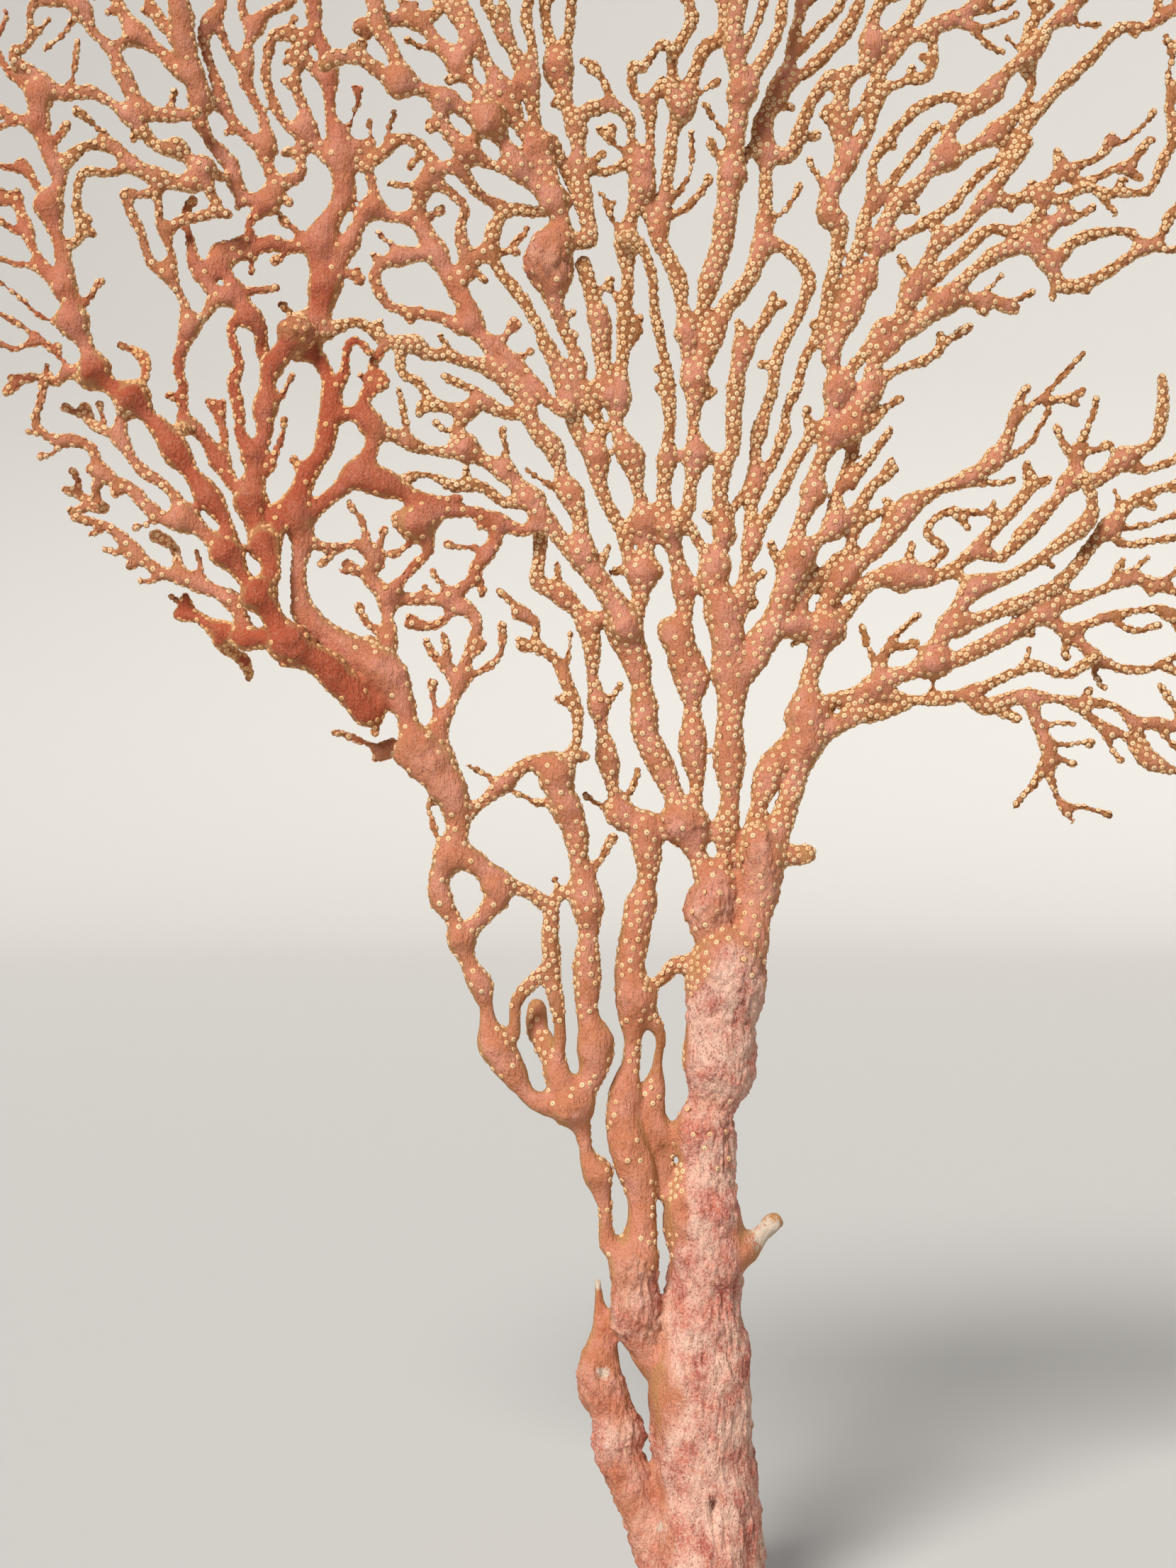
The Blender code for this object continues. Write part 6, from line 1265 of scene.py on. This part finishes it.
def polyp_mesh(name, sites, normals, redness, dice):
    """A low round dome with a pit in its middle at each site, closed underneath, as one mesh."""
    sides = POLYP_SIDES
    count = len(sites)
    helper = np.where(np.abs(normals[:, 2:3]) < MOSTLY_UP, [[0, 0, 1.0]], [[1.0, 0, 0]])
    first = np.cross(normals, helper)
    first /= np.linalg.norm(first, axis=1, keepdims=True)
    second = np.cross(normals, first)
    radius = dice.uniform(*POLYP_RADIUS, (count, 1))
    height = dice.uniform(*POLYP_HEIGHT, (count, 1))
    turn = dice.uniform(0, 2 * math.pi, (count, 1))
    rows = []
    for reach, rise in (POLYP_FOOT, POLYP_CREST):
        for side in range(sides):
            angle = turn + 2 * math.pi * side / sides
            flat = reach * (np.cos(angle) * first + np.sin(angle) * second)
            rows.append(sites + radius * (flat + rise * height * normals))
    rows.append(sites + radius * PIT_FLOOR * normals)
    per_dome = len(rows)
    points = np.stack(rows, axis=1).reshape(-1, 3) * MM
    pattern = []
    for side in range(sides):
        other = (side + 1) % sides
        pattern.append((side, other, sides + other))
        pattern.append((side, sides + other, sides + side))
        pattern.append((sides + side, sides + other, 2 * sides))
    for side in range(1, sides - 1):
        pattern.append((0, side + 1, side))
    starts = per_dome * np.arange(count)[:, None, None]
    faces = (np.array(pattern)[None] + starts).reshape(-1, 3)
    mesh = bpy.data.meshes.new(name)
    mesh.vertices.add(len(points))
    mesh.vertices.foreach_set("co", points.astype(np.float32).ravel())
    mesh.loops.add(faces.size)
    mesh.loops.foreach_set("vertex_index", faces.astype(np.int32).ravel())
    mesh.polygons.add(len(faces))
    mesh.polygons.foreach_set("loop_start", np.arange(0, faces.size, 3, dtype=np.int32))
    mesh.update(calc_edges=True)
    # The pit value marks each dome's middle, which the polyp material darkens as painted shade.
    add_value(mesh, "pit", np.tile([0.0] * (2 * sides) + [1.0], count))
    # rim is 0 on each dome's foot, whose darker colour is partly painted shade in the crease round the dome.
    add_value(mesh, "rim", np.tile([0.0] * sides + [1.0] * (sides + 1), count))
    add_value(mesh, "tone", np.repeat(dice.uniform(0, 1, count), per_dome))
    add_value(mesh, "redness", np.repeat(redness, per_dome))
    mesh.shade_smooth()
    made = bpy.data.objects.new(name, mesh)
    bpy.context.scene.collection.objects.link(made)
    return made


class Nodes:
    """Adds shader nodes to a new material, one call a node."""

    def __init__(self, name):
        self.material = bpy.data.materials.new(name)
        self.material.use_nodes = True
        self.tree = self.material.node_tree
        self.shader = self.tree.nodes["Principled BSDF"]

    def link(self, source, target):
        self.tree.links.new(source, target)

    def attribute(self, name):
        node = self.tree.nodes.new("ShaderNodeAttribute")
        node.attribute_name = name
        return node.outputs["Fac"]

    def place(self, stretch=(1, 1, 1)):
        node = self.tree.nodes.new("ShaderNodeTexCoord")
        mapping = self.tree.nodes.new("ShaderNodeMapping")
        mapping.inputs["Scale"].default_value = stretch
        self.link(node.outputs["Object"], mapping.inputs["Vector"])
        return mapping.outputs["Vector"]

    def noise(self, size, detail=3.0, rough=0.55, stretch=(1, 1, 1)):
        """Noise whose features are about size millimetres across."""
        node = self.tree.nodes.new("ShaderNodeTexNoise")
        node.inputs["Scale"].default_value = 1 / (size * MM)
        node.inputs["Detail"].default_value = detail
        node.inputs["Roughness"].default_value = rough
        self.link(self.place(stretch), node.inputs["Vector"])
        return node.outputs["Fac"]

    def spots(self, size):
        node = self.tree.nodes.new("ShaderNodeTexVoronoi")
        node.inputs["Scale"].default_value = 1 / (size * MM)
        self.link(self.place(), node.inputs["Vector"])
        return node.outputs["Distance"]

    def remap(self, value, low, high, new_low=0.0, new_high=1.0):
        node = self.tree.nodes.new("ShaderNodeMapRange")
        node.interpolation_type = "SMOOTHSTEP"
        for index, number in enumerate((low, high, new_low, new_high), 1):
            node.inputs[index].default_value = number
        self.link(value, node.inputs[0])
        return node.outputs[0]

    def math(self, operation, one, two):
        node = self.tree.nodes.new("ShaderNodeMath")
        node.operation = operation
        for socket, value in zip(node.inputs, (one, two)):
            if isinstance(value, (int, float)):
                socket.default_value = value
            else:
                self.link(value, socket)
        return node.outputs[0]

    def mix(self, share, one, two):
        node = self.tree.nodes.new("ShaderNodeMix")
        node.data_type = "RGBA"
        self.link(share, node.inputs["Factor"])
        for socket, colour in ((node.inputs[6], one), (node.inputs[7], two)):
            if isinstance(colour, tuple):
                socket.default_value = (*colour, 1)
            else:
                self.link(colour, socket)
        return node.outputs[2]

    def bump(self, height, depth, strength=1.0, normal=None):
        node = self.tree.nodes.new("ShaderNodeBump")
        node.inputs["Strength"].default_value = strength
        node.inputs["Distance"].default_value = depth * MM
        self.link(height, node.inputs["Height"])
        if normal is not None:
            self.link(normal, node.inputs["Normal"])
        return node.outputs["Normal"]


# Colours of the skin and the polyps.
# TAN is the twigs' own skin colour, kept dark so that it also stands for painted shade between the polyps and
# round each dome's foot.
TAN = (0.42, 0.17, 0.06)
SIDE_OCHRE = (0.56, 0.29, 0.11)
CORAL = (0.60, 0.22, 0.11)
PINK = (0.70, 0.29, 0.19)
BRICK = (0.46, 0.095, 0.04)
ROSE = (0.64, 0.21, 0.15)
DEEP_ROSE = (0.38, 0.075, 0.05)
CREAM = (0.88, 0.56, 0.43)
FLECK = (0.80, 0.56, 0.46)
CHALK = (0.72, 0.60, 0.48)
# The near-black colour in the old skin's pores is painted shade in these small hollows.
PORE_SHADE = (0.12, 0.035, 0.02)
OCHRE = (0.78, 0.48, 0.24)
PALE_OCHRE = (0.86, 0.63, 0.38)
RED_OCHRE = (0.80, 0.46, 0.20)
# The dark colour of each polyp's pit is painted shade in its hollow.
PIT_SHADE = (0.16, 0.05, 0.02)


def skin_material():
    """Tan twigs with ochre sides, coral to brick red swellings, and rose and cream old skin with pores; the
    pores' dark middles are painted shade, and the tan is partly painted shade.
    """
    nodes = Nodes("sea_fan_skin")
    girth = nodes.attribute("girth")
    redness = nodes.attribute("redness")
    patches = nodes.noise(7, 4)
    grains = nodes.noise(0.6, 3, 0.6)
    thick = nodes.math("ADD", girth, nodes.math("MULTIPLY", nodes.attribute("knot"), 0.20))
    swollen = nodes.remap(nodes.math("ADD", thick, nodes.math("MULTIPLY", patches, 0.16)), 0.22, 0.40)
    rosy = nodes.mix(nodes.remap(patches, 0.40, 0.64), CORAL, PINK)
    # The thin twigs' skin is TAN, which is partly painted shade between the polyps.
    young = nodes.mix(swollen, TAN, rosy)
    clouds = nodes.math("MULTIPLY", nodes.noise(11, 2), 0.5)
    red = nodes.remap(nodes.math("ADD", redness, clouds), 0.70, 1.30)
    redder = nodes.math("MULTIPLY", nodes.remap(redness, 0.1, 0.5), nodes.remap(girth, 0.13, 0.22, 0.35, 1.0))
    faced = nodes.mix(redder, young, rosy)
    coloured = nodes.mix(red, faced, BRICK)
    at_side = nodes.remap(nodes.attribute("front"), 0.75, 0.15)
    sided = nodes.math("MULTIPLY", at_side, nodes.remap(girth, 0.6, 0.3))
    coloured = nodes.mix(nodes.math("MULTIPLY", sided, 0.75), coloured, SIDE_OCHRE)
    old_tint = nodes.mix(nodes.remap(nodes.noise(9, 6, 0.7), 0.36, 0.62), ROSE, CREAM)
    streaks = nodes.remap(nodes.noise(6, 6, 0.7, (1, 1, 0.4)), 0.50, 0.70)
    old = nodes.mix(streaks, old_tint, DEEP_ROSE)
    aged = nodes.remap(nodes.math("ADD", girth, nodes.math("MULTIPLY", patches, 0.2)), 0.50, 0.80)
    colour = nodes.mix(aged, coloured, old)
    # Painted shade: the middle of each small pore on the old skin is darkened, besides its dent in the bump.
    all_pores = nodes.remap(nodes.spots(0.95), 0.30, 0.12)
    pores = nodes.math("MULTIPLY", all_pores, nodes.remap(girth, 0.3, 0.6))
    scattered = nodes.math("MULTIPLY", pores, nodes.remap(nodes.noise(3, 2), 0.50, 0.66))
    colour = nodes.mix(nodes.math("MULTIPLY", scattered, 0.6), colour, PORE_SHADE)
    worn = nodes.math("MULTIPLY", nodes.remap(grains, 0.50, 0.68), nodes.remap(aged, 0, 1, 0.18, 0.65))
    colour = nodes.mix(worn, colour, CREAM)
    all_flecks = nodes.remap(nodes.noise(1.3, 4, 0.7), 0.52, 0.66)
    flecks = nodes.math("MULTIPLY", all_flecks, nodes.remap(patches, 0.45, 0.6))
    colour = nodes.mix(nodes.math("MULTIPLY", flecks, nodes.math("MULTIPLY", aged, 0.7)), colour, FLECK)
    dark_grains = nodes.math("MULTIPLY", nodes.remap(grains, 0.47, 0.30), nodes.remap(aged, 0, 1, 0.4, 0.75))
    colour = nodes.mix(dark_grains, colour, DEEP_ROSE)
    crumbs = nodes.math("MULTIPLY", nodes.noise(1.3, 5, 0.75), 2.4)
    chalky = nodes.remap(nodes.math("ADD", nodes.attribute("pale"), crumbs), 1.55, 2.1)
    colour = nodes.mix(chalky, colour, CHALK)
    nodes.link(colour, nodes.shader.inputs["Base Color"])
    nodes.link(nodes.remap(grains, 0.3, 0.7, 0.75, 0.98), nodes.shader.inputs["Roughness"])
    ridges = nodes.noise(0.8, 4, 0.6, (1, 1, 0.3))
    coarse = nodes.bump(ridges, 0.9, 1.0)
    fine = nodes.bump(grains, 0.35, 1.0, coarse)
    nodes.link(nodes.bump(scattered, -0.25, 0.7, fine), nodes.shader.inputs["Normal"])
    nodes.shader.inputs["Specular IOR Level"].default_value = 0.25
    return nodes.material


def polyp_material():
    """Ochre domes, each a little different, with a dark pit in the middle painted as shade, and a foot in the
    skin's tan or coral that also stands for painted shade in the crease round it.
    """
    nodes = Nodes("sea_fan_polyps")
    body = nodes.mix(nodes.attribute("tone"), OCHRE, PALE_OCHRE)
    body = nodes.mix(nodes.remap(nodes.attribute("redness"), 0.4, 1.1), body, RED_OCHRE)
    grains = nodes.noise(0.45, 2)
    body = nodes.mix(nodes.remap(grains, 0.55, 0.9), body, CORAL)
    # Each dome's foot takes the skin's own tan or coral, and this darker foot is also painted shade in the
    # crease where the dome meets the skin.
    foot_colour_and_crease_shade = nodes.mix(nodes.remap(nodes.attribute("redness"), 0.1, 0.6), TAN, CORAL)
    crease_shaded = nodes.mix(nodes.remap(nodes.attribute("rim"), 0.20, 0.72), foot_colour_and_crease_shade, body)
    # Each dome's middle is painted dark: painted shade in the pit.
    pit_shaded = nodes.mix(nodes.remap(nodes.attribute("pit"), 0.58, 0.84), crease_shaded, PIT_SHADE)
    nodes.link(pit_shaded, nodes.shader.inputs["Base Color"])
    nodes.shader.inputs["Roughness"].default_value = 0.85
    nodes.shader.inputs["Specular IOR Level"].default_value = 0.25
    nodes.link(nodes.bump(grains, 0.08, 0.6), nodes.shader.inputs["Normal"])
    return nodes.material


def swell_knots(curves, guide):
    """Widens the curves where they fork."""
    start = 0
    for curve in curves:
        slender = np.clip(KNOT_WIDEST / curve[:, 3] - 1, 0, 1)
        swell = guide.knots[start: start + len(curve)] * KNOT_SWELL * slender
        curve[:, 3] *= 1 + swell
        start += len(curve)


def dress():
    """Makes the skin and its polyps, and has them stand for the solids."""
    lines, owners = all_lines()
    lines.append(centre_line(NUB[0], NUB[1:], lines))
    owners.append("trunk")
    curves = [smoothed(line) for line in lines]
    twigs = grow_side_twigs(curves, owners)
    curves.extend(curve for curve, _ in twigs)
    owners.extend(owner for _, owner in twigs)
    guide = Guide(curves, owners)
    swell_knots(curves, guide)
    whole = fused_skin(curves, owners)
    refine_old_skin(whole, guide)
    marks = relieve(whole, guide)
    skin = skin_material()
    for name, piece in part_skin(whole, guide, marks).items():
        slot, nodes = PIECES[name]
        piece.data.materials.append(skin)
        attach(piece, "root")
        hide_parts(*nodes)
    sites, normals, nearest = polyp_sites(whole, guide, marks)
    site_nodes = [guide.nodes[marks[vertex]] for vertex in nearest]
    homes = np.array([PIECE_OF[node] for node in site_nodes])
    redness = redness_at(site_nodes)
    dice = np.random.default_rng(SEED)
    domes = polyp_material()
    for name in PIECES:
        mine = homes == name
        if not mine.any():
            continue
        polyp_name = name.replace("skin", "polyps")
        made = polyp_mesh(polyp_name, sites[mine], normals[mine], redness[mine], dice)
        made.data.materials.append(domes)
        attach(made, "root")
    bpy.data.meshes.remove(whole)


# The photograph's frame: its height in pixels, how many of them make a millimetre, where its middle falls,
# and how far away the camera stands.
PHOTO_HEIGHT = 2212
PIXELS_PER_MM = 6.0
FRAME_MIDDLE = (-25.92, 199.33)
CAMERA_AWAY = 600.0
SENSOR = 36.0
NEAR_CLIP = 0.01


def place_camera():
    camera = bpy.data.cameras.new("camera")
    camera.sensor_fit = "VERTICAL"
    camera.sensor_height = SENSOR
    camera.lens = SENSOR * CAMERA_AWAY / (PHOTO_HEIGHT / PIXELS_PER_MM)
    camera.clip_start = NEAR_CLIP
    holder = bpy.data.objects.new("camera", camera)
    holder.location = (FRAME_MIDDLE[0] * MM, -CAMERA_AWAY * MM, FRAME_MIDDLE[1] * MM)
    holder.rotation_euler = (math.radians(90), 0, 0)
    bpy.context.scene.collection.objects.link(holder)
    bpy.context.scene.camera = holder


# The floor is a round dish that sweeps up into a low wall, far enough out to be behind every camera.
FLOOR_RADIUS = 2.4
SWEEP_RADIUS = 0.8
WALL_TOP = 1.7
SWEEP_STEPS = 10
TURN_STEPS = 96
FLOOR_COLOUR = (0.60, 0.59, 0.57, 1)
SKY_COLOUR = (0.93, 0.95, 1.0, 1)
SKY_STRENGTH = 0.10


def place_floor():
    """A plain pale floor with a pale wall all round."""
    profile = [(FLOOR_RADIUS, 0.0)]
    for step in range(1, SWEEP_STEPS + 1):
        angle = math.pi / 2 * step / SWEEP_STEPS
        profile.append((FLOOR_RADIUS + SWEEP_RADIUS * math.sin(angle), SWEEP_RADIUS * (1 - math.cos(angle))))
    profile.append((FLOOR_RADIUS + SWEEP_RADIUS, WALL_TOP))
    turns = [2 * math.pi * step / TURN_STEPS for step in range(TURN_STEPS)]
    points = [
        (reach * math.cos(turn), reach * math.sin(turn), rise)
        for reach, rise in profile
        for turn in turns
    ]
    faces = [tuple(range(TURN_STEPS))]
    for ring in range(len(profile) - 1):
        for step in range(TURN_STEPS):
            low = ring * TURN_STEPS
            other = (step + 1) % TURN_STEPS
            faces.append((low + step, low + TURN_STEPS + step, low + TURN_STEPS + other, low + other))
    floor = mesh_object("floor", points, faces)
    floor.data.shade_smooth()
    paint = Nodes("pale_floor")
    paint.shader.inputs["Base Color"].default_value = FLOOR_COLOUR
    paint.shader.inputs["Roughness"].default_value = 0.9
    floor.data.materials.append(paint.material)


def sun(name, strength, softness, source, colour):
    """Soft light from the direction of source, its disc softness degrees across."""
    light = bpy.data.lights.new(name, "SUN")
    light.energy = strength
    light.angle = math.radians(softness)
    light.color = colour
    holder = bpy.data.objects.new(name, light)
    holder.location = source
    holder.rotation_euler = (-Vector(source)).to_track_quat("-Z", "Y").to_euler()
    bpy.context.scene.collection.objects.link(holder)


def light_scene():
    sun("key", strength=3.7, softness=22, source=(-0.42, -0.85, 0.80), colour=(1.0, 0.97, 0.93))
    sun("back", strength=0.9, softness=50, source=(0.80, 0.75, 0.85), colour=(0.96, 0.98, 1.0))
    world = bpy.data.worlds.new("studio")
    world.use_nodes = True
    background = world.node_tree.nodes["Background"]
    background.inputs["Color"].default_value = SKY_COLOUR
    background.inputs["Strength"].default_value = SKY_STRENGTH
    bpy.context.scene.world = world
    bpy.context.scene.view_settings.view_transform = "Standard"


place_camera()
place_floor()
light_scene()
dress()
